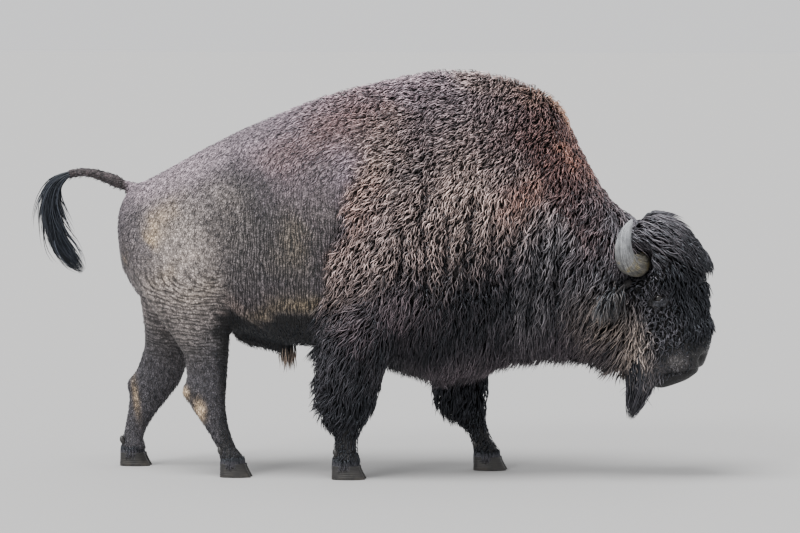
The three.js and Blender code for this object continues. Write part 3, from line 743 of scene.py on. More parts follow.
class Material:
    """A material's nodes round its shader, whose even sockets are named with their values at the start."""

    def __init__(self, name, **constants):
        self.made = bpy.data.materials.new(name)
        self.made.use_nodes = True
        self.tree = self.made.node_tree
        self.shader = self.tree.nodes["Principled BSDF"]
        for socket, value in constants.items():
            self.shader.inputs[socket.replace("_", " ")].default_value = value

    def link(self, socket, value):
        """Holds a number or vector on a socket, or links an output or a Maths to it."""
        if isinstance(value, Maths):
            value = value.socket
        if isinstance(value, bpy.types.NodeSocket):
            self.tree.links.new(value, socket)
        else:
            socket.default_value = value

    def add(self, kind, settings=None, values=None):
        """Any node of a kind: its settings first, then what its sockets hold or are linked to."""
        node = self.tree.nodes.new(kind)
        for name, value in (settings or {}).items():
            setattr(node, name, value)
        for name, value in (values or {}).items():
            self.link(node.inputs[name], value)
        return node

    def maths(self, operation, *values):
        """One sum, product or other operation on numbers."""
        node = self.add("ShaderNodeMath", {"operation": operation}, dict(enumerate(values)))
        return Maths(self, node.outputs[0])

    def step(self, value, low, high, first=0.0, last=1.0):
        """first below low, last above high and a smooth step between."""
        node = self.add("ShaderNodeMapRange", {"interpolation_type": "SMOOTHSTEP"},
                        {0: value, 1: low, 2: high, 3: first, 4: last})
        return Maths(self, node.outputs[0])

    def attribute(self, name, output):
        """An attribute of the mesh, as its Color, Vector or Fac."""
        return self.add("ShaderNodeAttribute", {"attribute_name": name}).outputs[output]

    def parts(self, vector):
        """The three numbers of a vector."""
        split = self.add("ShaderNodeSeparateXYZ", None, {0: vector})
        return [Maths(self, output) for output in split.outputs]

    def vector(self, *numbers):
        """Three numbers joined to a vector."""
        return self.add("ShaderNodeCombineXYZ", None, dict(enumerate(numbers))).outputs[0]

    def place(self, scale=(1, 1, 1)):
        """Object coordinates, stretched."""
        here = self.add("ShaderNodeTexCoord").outputs["Object"]
        return self.add("ShaderNodeMapping", None, {"Vector": here, "Scale": scale}).outputs[0]

    def noise(self, vector, scale, detail=3.0, roughness=0.55):
        """A noise of about 0.3 to 0.7, scale times to the unit of the vector."""
        values = {"Vector": vector, "Scale": scale, "Detail": detail, "Roughness": roughness}
        return Maths(self, self.add("ShaderNodeTexNoise", None, values).outputs["Fac"])

    def shade(self, colour, factor):
        """A colour times a number."""
        node = self.add("ShaderNodeVectorMath", {"operation": "SCALE"}, {0: colour, "Scale": factor})
        return node.outputs[0]

    def mix(self, share, first, second):
        """From one colour to another."""
        node = self.add("ShaderNodeMix", {"data_type": "RGBA"}, {"Factor": share, 6: first, 7: second})
        return node.outputs[2]

    def bump(self, height, depth):
        """Relief of a height of 0 to 1, depth metres deep, into the shader's Normal."""
        node = self.add("ShaderNodeBump", None, {"Strength": 1.0, "Distance": depth, "Height": height})
        self.link(self.shader.inputs["Normal"], node.outputs[0])

    def colour(self, value):
        """What the shader's colour follows."""
        self.link(self.shader.inputs["Base Color"], value)

    def roughness(self, value):
        """What the shader's roughness follows."""
        self.link(self.shader.inputs["Roughness"], value)


def set_attribute(mesh, name, kind, values):
    """An attribute on the mesh's corners."""
    layer = mesh.attributes.new(name, kind, "POINT")
    field_name = {"FLOAT_COLOR": "color", "FLOAT_VECTOR": "vector", "FLOAT": "value"}[kind]
    layer.data.foreach_set(field_name, np.ascontiguousarray(values, np.float32).ravel())


def with_alpha(colours):
    """Colours of three numbers with a fourth, 1, for opaque."""
    return np.concatenate((colours, np.ones((len(colours), 1))), axis=1)


# Under the long wool the hide lies in shade, so it shows dark between the tufts; muzzle and lids are bare.
places = corners_of(hide_mesh)
x, y, z = places.T
under_wool = cape(x - 0.05, y, z) * smooth(z, 0.15, 0.30)
hx, hy, hz = in_head(x, y, z)
bare = smooth(hz, -0.46, -0.60) * (x > BREAST)
by_eyes = smooth(to_eyes(hx, hy, hz), 0.052, 0.042)
shaded = 0.86 * under_wool * (1 - np.maximum(bare, by_eyes))
hide_colours = coat_colours(places) * (1 - shaded)[:, None]
set_attribute(hide_mesh, "coat", "FLOAT_COLOR", with_alpha(hide_colours))
set_attribute(hide_mesh, "bare", "FLOAT", bare * smooth(hx, 0.03, 0.08))

# Where the hide wrinkles: the first number counts across the wrinkles and the second along them, in metres,
# and the third is how deep they are. Flank: upright lines. Thigh: long arcs round the stifle, whose x and z
# in the side view are given.
STIFLE = (-0.718, 0.905)
STIFLE_STRETCH = 2.6


def flank_share(x, z):
    """1 on the flank between thigh and wool, fading up the loin: a product of four smooth steps."""
    return smooth(x, -0.72, -0.60) * smooth(x, -0.08, -0.16) * smooth(z, 1.50, 1.05) * smooth(z, 0.64, 0.72)


def thigh_share(x, z):
    """1 on the lower rear of the thigh: a product of three smooth steps."""
    return smooth(z, 0.98, 0.86) * smooth(z, 0.42, 0.60) * smooth(x, -0.60, -0.68)


sx, sz = side_view(x, y, z)
set_attribute(hide_mesh, "flank", "FLOAT_VECTOR", np.stack((sx, sz, flank_share(sx, sz)), axis=1))
from_stifle = np.hypot((sx - STIFLE[0]) / STIFLE_STRETCH, sz - STIFLE[1])
set_attribute(hide_mesh, "thigh", "FLOAT_VECTOR", np.stack((from_stifle, sx, thigh_share(sx, sz)), axis=1))

# Hide: short hair as grain and pebbles, lighter in their middles and in painted shade at their edges, and
# wrinkles as thin dark lines of painted shade in the troughs of a sine that a noise bends; the bare muzzle is
# smoother and moist.
skin = Material("short_coat", Specular_IOR_Level=0.45)
base = skin.attribute("coat", "Color")
wet = Maths(skin, skin.attribute("bare", "Fac"))


def wrinkles(attribute, apart, bend, dark):
    """Painted shade of the wrinkles: 1 - dark in them and 1 between them, a step of sin(2 pi across / apart +
    bend
    * noise), broken up where a second noise is low."""
    across, along, share = skin.parts(skin.attribute(attribute, "Vector"))
    warp = skin.noise(skin.vector(across * 22.0, along * 9.0, 0.0), 1.0, 2.0) * bend
    crest = skin.maths("SINE", across * (2 * math.pi / apart) + warp)
    ends = skin.step(skin.noise(skin.vector(across * 60.0, along * 20.0, 5.0), 1.0, 1.0), 0.32, 0.46)
    line = skin.step(crest, -0.85, 0.45)
    return 1.0 - dark * share * ends * (1.0 - line)


grain = skin.noise(skin.place((1.0, 1.0, 0.6)), 230.0, 2.0)
uneven = skin.noise(skin.place(), 55.0, 3.0, 0.6)
cells = skin.add("ShaderNodeTexVoronoi", {"feature": "DISTANCE_TO_EDGE"},
                 {"Vector": skin.place((1.0, 1.0, 0.8)), "Scale": 105.0, "Randomness": 1.0}).outputs[0]
pebble = skin.step(cells, 0.0, 0.28)
lines = wrinkles("flank", 0.0125, 26.0, 0.90) * wrinkles("thigh", 0.0165, 20.0, 0.66)
tone = skin.step(uneven, 0.35, 0.65, 0.50, 1.50) * skin.step(grain, 0.3, 0.7, 0.65, 1.35)
# Painted shade: the pebbles darken towards their edges and the wrinkles to thin dark lines.
tone = tone * (0.50 + 0.60 * pebble) * (0.06 + 1.12 * lines)
skin.colour(skin.shade(base, tone))
skin.bump(lines * 0.8 + uneven * 0.25 + pebble * 0.25 + grain * 0.12, 0.009)
skin.roughness(0.62 - 0.30 * wet)
hide_mesh.materials.append(skin.made)

# ---- The eyes ----
# Glass balls set in the sockets behind the lids, which cover half of each: dark brown with a level oval
# pupil, and as wet and glossy as in life.

EYE_ROWS = 28
EYE_COLUMNS = 40


def eyeball(side):
    """A ball of rows from pole to pole about the sideways axis: radius (sin a cos b, cos a, sin a sin b)."""
    polar = np.linspace(0.02, math.pi - 0.02, EYE_ROWS)[:, None]
    round_axis = round_about(EYE_COLUMNS)
    forward = np.sin(polar) * np.cos(round_axis)
    out = side * np.cos(polar) + 0 * round_axis
    upward = np.sin(polar) * np.sin(round_axis)
    centre = EYE * (1, side, 1)
    points = np.stack((forward, out, upward), axis=-1).reshape(-1, 3)
    placed = from_head(centre + EYE_RADIUS * points)
    faces = grid_faces(EYE_ROWS, EYE_COLUMNS)
    caps = [list(range(EYE_COLUMNS))[::-1], list(range((EYE_ROWS - 1) * EYE_COLUMNS, EYE_ROWS * EYE_COLUMNS))]
    rings = faces.tolist() + caps
    if side > 0:
        rings = [ring[::-1] for ring in rings]
    mesh = bpy.data.meshes.new("eyeball")
    mesh.from_pydata(placed.tolist(), [], rings)
    mesh.shade_smooth()
    set_attribute(mesh, "seen", "FLOAT_VECTOR", points * (1, side, 1))
    return mesh


wet_eye = Material("wet_eye", Roughness=0.05, Coat_Weight=0.25, Coat_Roughness=0.03)
fore, _, high = wet_eye.parts(wet_eye.attribute("seen", "Vector"))
pupil = wet_eye.maths("SQRT", fore * fore * 3.2 + high * high * 14.0)
iris = wet_eye.maths("SQRT", fore * fore + high * high)
IRIS_BROWN = (0.012, 0.007, 0.005, 1.0)
EYE_WHITE = (0.010, 0.009, 0.010, 1.0)  # all but black in a bison
PUPIL_BLACK = (0.002, 0.002, 0.003, 1.0)
ball = wet_eye.mix(wet_eye.step(iris, 0.60, 0.68), IRIS_BROWN, EYE_WHITE)
wet_eye.colour(wet_eye.mix(wet_eye.step(pupil, 0.85, 1.0), PUPIL_BLACK, ball))


def piece_of(name, mesh, material, slot, *nodes):
    """Puts a mesh into the scene as a piece of the body, in place of its solids if it has any."""
    mesh.materials.append(material.made)
    piece = bpy.data.objects.new(name, mesh)
    bpy.context.scene.collection.objects.link(piece)
    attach(piece, "root")
    if nodes:
        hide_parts(*nodes)


for word, side in SIDES:
    piece_of(f"eyeball_{word}", eyeball(side), wet_eye, "eye", f"eye_{word}")

# ---- The horns ----
# Short stout horns of keratin on bone cores that grow out of the sides of the skull. They bend up and in,
# carry worn rings and a green-brown stain over the lower half, and are smoother and paler towards the tip.

HORN_PATH = np.array(((-0.020, 0.120, -0.124), (-0.032, 0.184, -0.132), (-0.054, 0.248, -0.103),
                      (-0.044, 0.294, -0.042), (-0.012, 0.306, 0.018), (0.036, 0.284, 0.070)))
HORN_SHARES = (0.0, 0.16, 0.30, 0.43, 0.56, 0.68, 0.80, 0.90, 0.97, 1.0)
HORN_RADII = (0.0495, 0.0505, 0.0490, 0.046, 0.041, 0.035, 0.0275, 0.0185, 0.0100, 0.003)


def unit(vectors):
    """Vectors divided by their length."""
    return vectors / np.maximum(np.linalg.norm(vectors, axis=-1, keepdims=True), 1e-9)


CURVE_STEPS = 400


def curve_through(points, shares):
    """Places at shares of the length of a centripetal Catmull-Rom curve through the points."""
    points = np.asarray(points, float)
    points = np.concatenate((2 * points[:1] - points[1:2], points, 2 * points[-1:] - points[-2:-1]))
    knots = np.concatenate(((0,), np.cumsum(np.sqrt(np.linalg.norm(np.diff(points, axis=0), axis=1)))))
    t = np.linspace(knots[1], knots[-2], CURVE_STEPS)
    k = np.clip(np.searchsorted(knots, t, side="right") - 1, 1, len(knots) - 3)

    def between(first, second, a, b):
        """From first at knot a to second at knot b, in a straight line."""
        part = ((t - knots[a]) / (knots[b] - knots[a]))[:, None]
        return first + (second - first) * part

    a1 = between(points[k - 1], points[k], k - 1, k)
    a2 = between(points[k], points[k + 1], k, k + 1)
    a3 = between(points[k + 1], points[k + 2], k + 1, k + 2)
    b1 = between(a1, a2, k - 1, k + 1)
    b2 = between(a2, a3, k, k + 2)
    fine_path = between(b1, b2, k, k + 1)
    lengths = np.concatenate(((0,), np.cumsum(np.linalg.norm(np.diff(fine_path, axis=0), axis=1))))
    return np.stack([np.interp(shares, lengths / lengths[-1], fine_path[:, k]) for k in range(3)], axis=1)


def tube_points(path, sideways, radii, columns):
    """Rings round a path: centre + radius * (cos t * across + sin t * up), where across is the sideways
    direction squared to the path; radii is rows by columns, or rows by columns by 2 for the two ways."""
    tangents = unit(np.gradient(path, axis=0))
    across = unit(sideways - tangents * (tangents @ sideways)[:, None])
    up = np.cross(tangents, across)
    turn = round_about(columns)[..., None]
    radii = np.asarray(radii, float)
    if radii.ndim == 2:
        radii = np.stack((radii, radii), axis=-1)
    ring = (radii[..., 0:1] * np.cos(turn) * across[:, None, :]
            + radii[..., 1:2] * np.sin(turn) * up[:, None, :])
    return path[:, None, :] + ring


def capped_tube(name, points):
    """A closed mesh of rings of points: quads between them and a fan of triangles at each end."""
    rows, columns = points.shape[:2]
    corners = np.concatenate((points.reshape(-1, 3), [points[0].mean(axis=0)], [points[-1].mean(axis=0)]))
    near, far = rows * columns, rows * columns + 1
    last = (rows - 1) * columns
    faces = grid_faces(rows, columns).tolist()
    faces += [((k + 1) % columns, k, near) for k in range(columns)]
    faces += [(last + k, last + (k + 1) % columns, far) for k in range(columns)]
    mesh = bpy.data.meshes.new(name)
    mesh.from_pydata(corners.tolist(), [], faces)
    mesh.shade_smooth()
    return mesh


def ends_too(values):
    """A value for each ring corner, then those of the two end points of a capped tube."""
    return np.concatenate((values.reshape(-1), [values[0].mean(), values[-1].mean()]))


HORN_ROWS = 110
HORN_COLUMNS = 48
GROWTH_RINGS = 20


def horn(side):
    """Rings round the horn's path. The radius has growth rings, which fade above the lower half, and long
    shallow flutes: radius * (1 + sin(2 pi n share) * fade + the sum of two sines of the angle)."""
    shares = np.linspace(0, 1, HORN_ROWS)
    path = from_head(curve_through(HORN_PATH * (1, side, 1), shares))
    radius = np.interp(shares, HORN_SHARES, HORN_RADII)[:, None]
    turn = round_about(HORN_COLUMNS)
    share = shares[:, None]
    ring_phase = GROWTH_RINGS * share + 0.12 * np.sin(2 * turn + side) + 0.3 * np.sin(9 * share)
    rings = 0.018 * np.sin(2 * math.pi * ring_phase)
    rings = rings * smooth(share, 0.74, 0.45) * (0.6 + 0.4 * np.sin(23 * share + turn))
    flutes = 0.012 * np.sin(7 * turn + 4 * share) + 0.008 * np.sin(13 * turn - 3 * share)
    radii = radius * (1 + rings + flutes * smooth(share, 1.0, 0.8))
    points = tube_points(path, HEAD_AXES[:, 0], radii, HORN_COLUMNS)
    mesh = capped_tube("horn", points)
    shares = ends_too(share + 0 * turn)
    set_attribute(mesh, "share", "FLOAT", shares)
    round_horn = (ends_too(np.cos(turn) + 0 * share), ends_too(np.sin(turn) + 0 * share), shares)
    set_attribute(mesh, "round", "FLOAT_VECTOR", np.stack(round_horn, axis=1))
    return mesh


HORN_ROOT = (0.120, 0.112, 0.092, 1.0)
HORN_GREY = (0.330, 0.340, 0.360, 1.0)
HORN_TIP = (0.430, 0.440, 0.460, 1.0)
HORN_STAIN = (0.190, 0.155, 0.065, 1.0)

keratin = Material("horn_keratin")
share = Maths(keratin, keratin.attribute("share", "Fac"))
grain_at = keratin.add("ShaderNodeMapping", None, {"Vector": keratin.attribute("round", "Vector"),
                                                  "Scale": (7.0, 7.0, 1.6)}).outputs[0]
fibres = keratin.noise(grain_at, 3.5, 5.0, 0.70)
cracks = keratin.step(keratin.maths("ABSOLUTE", keratin.noise(grain_at, 1.6, 3.0) - 0.5), 0.0, 0.045)
blotches = keratin.noise(keratin.place(), 24.0, 4.0, 0.65)
base = keratin.mix(keratin.step(share, 0.15, 0.80), HORN_ROOT, HORN_GREY)
base = keratin.mix(keratin.step(share, 0.75, 0.95), base, HORN_TIP)
stain = keratin.step(blotches, 0.50, 0.66) * keratin.step(share, 0.75, 0.40, 0.0, 0.75)
base = keratin.mix(stain, base, HORN_STAIN)
tone = keratin.step(fibres, 0.36, 0.64, 0.30, 1.60) * keratin.step(blotches, 0.30, 0.70, 0.70, 1.20)
keratin.colour(keratin.shade(base, tone * (0.45 + 0.55 * cracks)))
keratin.roughness(keratin.step(fibres, 0.3, 0.7, 0.42, 0.62))
keratin.bump(fibres * 0.6 + cracks * 0.3 + blotches * 0.3, 0.0016)
for word, side in SIDES:
    piece_of(f"horn_sheath_{word}", horn(side), keratin, "horn", f"horn_{word}")

# ---- The ears ----
# Leaves of gristle on short stalks behind and below the horns, stiffened by the mounter and cupped to the
# side. They are haired all over; the long hair on their rims is set on with the coat.

EAR_PATH = np.array(((-0.096, 0.150, -0.196), (-0.132, 0.214, -0.204), (-0.168, 0.262, -0.222),
                     (-0.196, 0.296, -0.250)))
EAR_SHARES = (0.0, 0.2, 0.42, 0.64, 0.84, 1.0)
EAR_WIDE = (0.022, 0.028, 0.034, 0.032, 0.021, 0.004)
EAR_THICK = (0.018, 0.016, 0.012, 0.009, 0.007, 0.003)
EAR_ROWS = 30
EAR_COLUMNS = 32
EAR_BLACK = (0.030, 0.027, 0.028)


def ear(side):
    """A flattened tube round the ear's path, its front hollowed: thickness * (1 - 1.5 hollow) there."""
    shares = np.linspace(0, 1, EAR_ROWS)
    path = from_head(curve_through(EAR_PATH * (1, side, 1), shares))
    turn = round_about(EAR_COLUMNS)
    wide = np.interp(shares, EAR_SHARES, EAR_WIDE)[:, None] + 0 * turn
    thick = np.interp(shares, EAR_SHARES, EAR_THICK)[:, None] + 0 * turn
    hollow = smooth(shares, 0.15, 0.4)[:, None] * smooth(shares, 1.0, 0.85)[:, None]
    front = smooth(np.sin(turn) * -side, 0.2, 0.9)
    thick = thick * (1 - 1.5 * hollow * front)
    reference = HEAD_AXES @ np.array((1.0, 0.0, 0.4))
    return capped_tube("ear", tube_points(path, reference, np.stack((wide, thick), axis=-1), EAR_COLUMNS))


ear_hide = Material("ear_hide", Roughness=0.8)
ear_grain = ear_hide.noise(ear_hide.place(), 220.0, 2.0)
ear_hide.colour(ear_hide.shade(EAR_BLACK, ear_hide.step(ear_grain, 0.3, 0.7, 0.7, 1.3)))
ear_hide.bump(ear_grain, 0.001)
for word, side in SIDES:
    piece_of(f"ear_leaf_{word}", ear(side), ear_hide, "hide", f"ear_{word}")

# ---- The hooves ----
# Two claws of black horn to a foot, each a hollow shoe grown over the toe, with growth rings round the wall
# and a rounded bearing edge. Two small dewclaws sit behind each fetlock.

CORONET = 0.062
CLAW_GAP = 0.004
CLAW_POWER = 2.3  # between an ellipse, 2, and a rectangle
CLAW_RINGS = 7.5
CLAW_COLUMNS = 56
EDGE_ROUND = 0.003
RING_SWELL = 0.0008
CORONET_BAND = 0.0015
# Each foot's heel and toe in x, its middle in y and half the width of one claw.
FEET = {
    "fore_right": (-0.158, -0.004, -0.220, 0.031), "fore_left": (0.438, 0.592, 0.220, 0.031),
    "hind_right": (-0.672, -0.528, -0.199, 0.028), "hind_left": (-1.206, -1.062, 0.199, 0.028),
}


def claw(heel, toe, middle, side, half):
    """Level rings up the wall: each is a superellipse, |cos t|^(2/p) by |sin t|^(2/p), the front slopes back
    with height, the toe is drawn towards the cleft, and growth rings swell it by a sine of the height."""
    height = np.concatenate(((0.0, 0.02, 0.05), np.linspace(0.09, 1.0, 26), (1.0, 1.02)))[:, None]
    turn = round_about(CLAW_COLUMNS)
    ahead = np.sign(np.cos(turn)) * np.abs(np.cos(turn)) ** (2 / CLAW_POWER)
    outward = np.sign(np.sin(turn)) * np.abs(np.sin(turn)) ** (2 / CLAW_POWER)
    trim = EDGE_ROUND * (1 - np.clip(height / 0.05, 0, 1)) ** 0.5
    swell = RING_SWELL * np.sin(2 * math.pi * CLAW_RINGS * height ** 1.1 + 0.5 * ahead)
    swell = swell * smooth(height, 0.05, 0.15)
    band = CORONET_BAND * np.exp(-0.5 * ((height - 0.93) / 0.05) ** 2)
    close = 1 - 0.55 * (height > 1.01) - 0.12 * (np.arange(len(height))[:, None] == len(height) - 2)
    front = toe - 0.036 * height + 0.006 * height ** 3 - trim + swell + band
    back = heel + 0.004 * height + trim - swell
    wide = half * (1 - 0.1 * height) - trim + swell + band
    toeward = np.maximum(0, ahead) ** 2
    y = middle + side * (half + CLAW_GAP / 2 - 0.22 * toeward * half)
    x = (front + back) / 2 + (front - back) / 2 * ahead * close
    y = y + wide * outward * (1 - 0.35 * toeward) * close
    z = CORONET * np.minimum(height, 1.0) + 0 * turn + 0.004 * (height > 1.01)
    points = np.stack((x, y, z), axis=-1)
    return capped_tube("claw", points)


DEW_AT = {"fore_right": -0.138, "fore_left": 0.448, "hind_right": -0.668, "hind_left": -1.192}
DEW_HEIGHT = 0.118
DEW_HALF = (0.014, 0.013, 0.022)  # half-length fore and aft, across and down
DEW_APART = 0.030  # from the middle of the foot
DEW_ROWS = 18
DEW_COLUMNS = 24


def dewclaw(x, y):
    """A knob of rings down its own slanting axis, with a radius of sin(pi share)^0.8 and ripples round it."""
    share = np.linspace(0, 1, DEW_ROWS)[:, None]
    turn = round_about(DEW_COLUMNS)
    radius = np.sin(math.pi * np.clip(share * 0.92 + 0.04, 0, 1)) ** 0.8
    ripple = 1 + 0.03 * np.sin(2 * math.pi * 6 * share)
    along = DEW_HALF[2] * (1 - 2 * share)
    forward = DEW_HALF[0] * radius * ripple * np.cos(turn) - 0.25 * along
    across = DEW_HALF[1] * radius * ripple * np.sin(turn)
    points = np.stack((x + forward, y + across, DEW_HEIGHT + along + 0 * turn), axis=-1)
    return capped_tube("dewclaw", points[::-1])


HOOF_BLACK = (0.016, 0.015, 0.0145)
DUST = (0.055, 0.048, 0.040, 1.0)

hoof_horn = Material("hoof_horn")
bands = hoof_horn.noise(hoof_horn.place((0.4, 0.4, 3.0)), 60.0, 3.0)
dust = hoof_horn.noise(hoof_horn.place(), 40.0, 4.0)
_, _, hoof_height = hoof_horn.parts(hoof_horn.place())
dusty = hoof_horn.step(dust, 0.35, 0.7) * hoof_horn.step(hoof_height, 0.05, 0.0, 0.0, 0.8)
wall = hoof_horn.shade(HOOF_BLACK, hoof_horn.step(bands, 0.3, 0.7, 0.7, 1.5))
hoof_horn.colour(hoof_horn.mix(dusty, wall, DUST))
hoof_horn.roughness(0.45 + 0.35 * dusty)
hoof_horn.bump(bands * 0.6 + dust * 0.4, 0.001)
for foot, (heel, toe, middle, half) in FEET.items():
    for word, side in SIDES:
        name = f"{foot}_{word}"
        piece_of(f"claw_{name}", claw(heel, toe, middle, side, half), hoof_horn, "hoof", f"hoof_{name}")
        knob = dewclaw(DEW_AT[foot], middle + side * DEW_APART)
        piece_of(f"dewclaw_{name}.horn", knob, hoof_horn, "hoof", f"dewclaw_{name}")

# ---- The coat ----
# The hair grows from the hide; every tuft of it is a closed three-sided tube that tapers to a point. It is
# rooted in the hide, rises to the depth of the coat, lies down along the lie of the hair and waves from side
# to side as wool does.

PATCH = 0.003  # a tuft's patch on the hide's unwrapping
TRIES = 5  # points drawn for each place that is wanted
CELL = 1.15  # a cell's edge, in spacings
GRAVITY = np.array((0.0, 0.0, -1.0))


def room_over(points):
    """Depth of each point under the solids' surface: the distance field read between its eight voxels."""
    spot = points / VOXEL - field.first
    low = np.floor(spot).astype(int)
    part = spot - low
    depth = np.zeros(len(points))
    for corner in range(8):
        step = np.array((corner & 1, corner >> 1 & 1, corner >> 2 & 1))
        share = np.prod(np.where(step, part, 1 - part), axis=1)
        depth -= share * distance[tuple((low + step).T)]
    return depth


def cells_of(points, size):
    """A whole number for the cube of that size in which each point lies, made of its three counts."""
    cells = np.floor(points / size).astype(np.int64)
    return (cells[:, 0] * 4096 + cells[:, 1]) * 4096 + cells[:, 2]


def scatter(spacing, wanted):
    """Places on the hide about spacing apart: triangles drawn by area, a point in each from two random
    numbers, one kept in each cell of a grid, and of those the share that wanted(points) gives."""
    hide_mesh.calc_loop_triangles()
    triangles = hide_mesh.loop_triangles
    corners, loops = read(triangles, "vertices", 3, np.int32), read(triangles, "loops", 3, np.int32)
    areas = read(triangles, "area", 1)[:, 0]
    unwrapped = read(hide_mesh.uv_layers["OFBake"].uv, "vector", 2, np.float32)
    points, normals = corners_of(hide_mesh), normals_of(hide_mesh)

    middles = points[corners].mean(axis=1)
    areas *= wanted(middles) > 0
    tries = int(TRIES * areas.sum() / spacing ** 2)
    drawn = chance.choice(len(triangles), tries, p=areas / areas.sum())
    first, second = chance.random((2, tries))
    flip = first + second > 1
    first, second = np.where(flip, 1 - first, first), np.where(flip, 1 - second, second)
    shares = np.stack((1 - first - second, first, second), axis=1)[..., None]
    places = (points[corners[drawn]] * shares).sum(axis=1)
    upright = unit((normals[corners[drawn]] * shares).sum(axis=1))
    spots = (unwrapped[loops[drawn]] * shares).sum(axis=1)
    _, one_each = np.unique(cells_of(places, CELL * spacing), return_index=True)
    keep = one_each[chance.random(len(one_each)) < wanted(places[one_each])]
    return places[keep], upright[keep], spots[keep]


# The lie of the hair in the side view, at x and z: how far it points forwards and upwards.
LIE = np.array((
    (0.26, 1.77, -0.97, -0.25), (0.03, 1.73, -0.95, -0.30), (-0.33, 1.64, -0.90, -0.40),
    (0.00, 1.48, -0.85, -0.50), (0.12, 1.30, -0.75, -0.65), (0.35, 1.52, -0.75, -0.65),
    (0.33, 1.25, -0.40, -0.90), (0.58, 1.66, -0.60, -0.80), (0.58, 1.25, -0.30, -0.95),
    (0.80, 1.66, -0.45, -0.90), (0.85, 1.25, -0.40, -0.90), (1.03, 1.20, -0.50, -0.85),
    (0.99, 0.98, -0.40, -0.90), (0.76, 0.80, -0.20, -0.98), (0.49, 0.80, -0.05, -1.00),
    (0.44, 0.52, -0.15, -1.00), (0.26, 0.98, -0.10, -1.00), (0.12, 0.80, -0.45, -0.90),
    (-0.10, 1.02, -0.55, -0.83), (-0.15, 0.75, -0.80, -0.60), (-0.08, 0.48, -0.35, -0.94),
    (-0.24, 0.43, -0.60, -0.80), (0.03, 0.48, -0.10, -1.00), (0.40, 0.39, -0.20, -1.00),
    (1.12, 0.66, -0.70, -0.70), (-0.56, 1.25, -0.50, -0.87), (-0.42, 0.89, -0.10, -1.00),
    (-0.79, 1.39, -0.85, -0.50), (-0.88, 1.05, -0.30, -0.95), (-1.00, 1.18, -0.50, -0.85),
    (-0.72, 1.00, -0.15, -0.99), (-0.62, 0.80, 0.35, -0.94), (-0.95, 0.82, 0.90, -0.35),
    (-0.84, 0.74, 0.85, -0.50), (-0.98, 0.92, 0.80, -0.60), (-0.70, 0.60, 0.10, -0.99),
    (-1.05, 0.60, 0.05, -0.99), (-0.40, 0.76, 0.10, -0.99), (-0.45, 1.10, -0.15, -0.99),
    (-0.75, 0.30, -0.20, -0.98), (-1.10, 0.30, -0.20, -0.98), (-1.30, 1.36, -0.98, 0.10),
))
WHORL = np.array((-0.11, 0.0, 0.05))  # where the crown's hair parts, in the head's frame


def front_share(points):
    """The share of a place that belongs to head rather than neck."""
    return smooth(points[:, 0] + 0.15 * (points[:, 2] - 0.8), 1.08, 1.20)


def lie_of_hair(points, normals):
    """Directions along the hide: the guides weighted by 1 / distance^4, the hair falling outwards on top,
    on the head away from the whorl and down the face; the part along the normal is taken out."""
    x, y, z = points.T
    sx, sz = side_view(x, y, z)
    away = (sx[:, None] - LIE[:, 0]) ** 2 + (sz[:, None] - LIE[:, 1]) ** 2 + 0.006
    weights = away ** -2
    flat = (weights @ LIE[:, 2:]) / weights.sum(axis=1)[:, None]
    outwards = 0.6 * np.tanh(y / 0.08) * np.maximum(normals[:, 2], 0)
    body_way = np.stack((flat[:, 0], outwards, flat[:, 1]), axis=1)

    hx, hy, hz = in_head(x, y, z)
    from_whorl = unit(np.stack((hx - WHORL[0], hy, hz - WHORL[2]), axis=1)) + (0.50, 0, -0.55)
    down_face = np.stack((-0.15 - 0.55 * smooth(hx, 0.02, -0.10), 0.0 * hy, -1.0 + 0.0 * hy), axis=1)
    on_crown = crown_share(hx, hz, ROOT_FRINGE)[:, None]
    head_way = (down_face + (from_whorl - down_face) * on_crown) @ HEAD_AXES.T
    way = body_way + (head_way - body_way) * front_share(points)[:, None]
    way -= normals * (way * normals).sum(axis=1)[:, None]
    return unit(way)


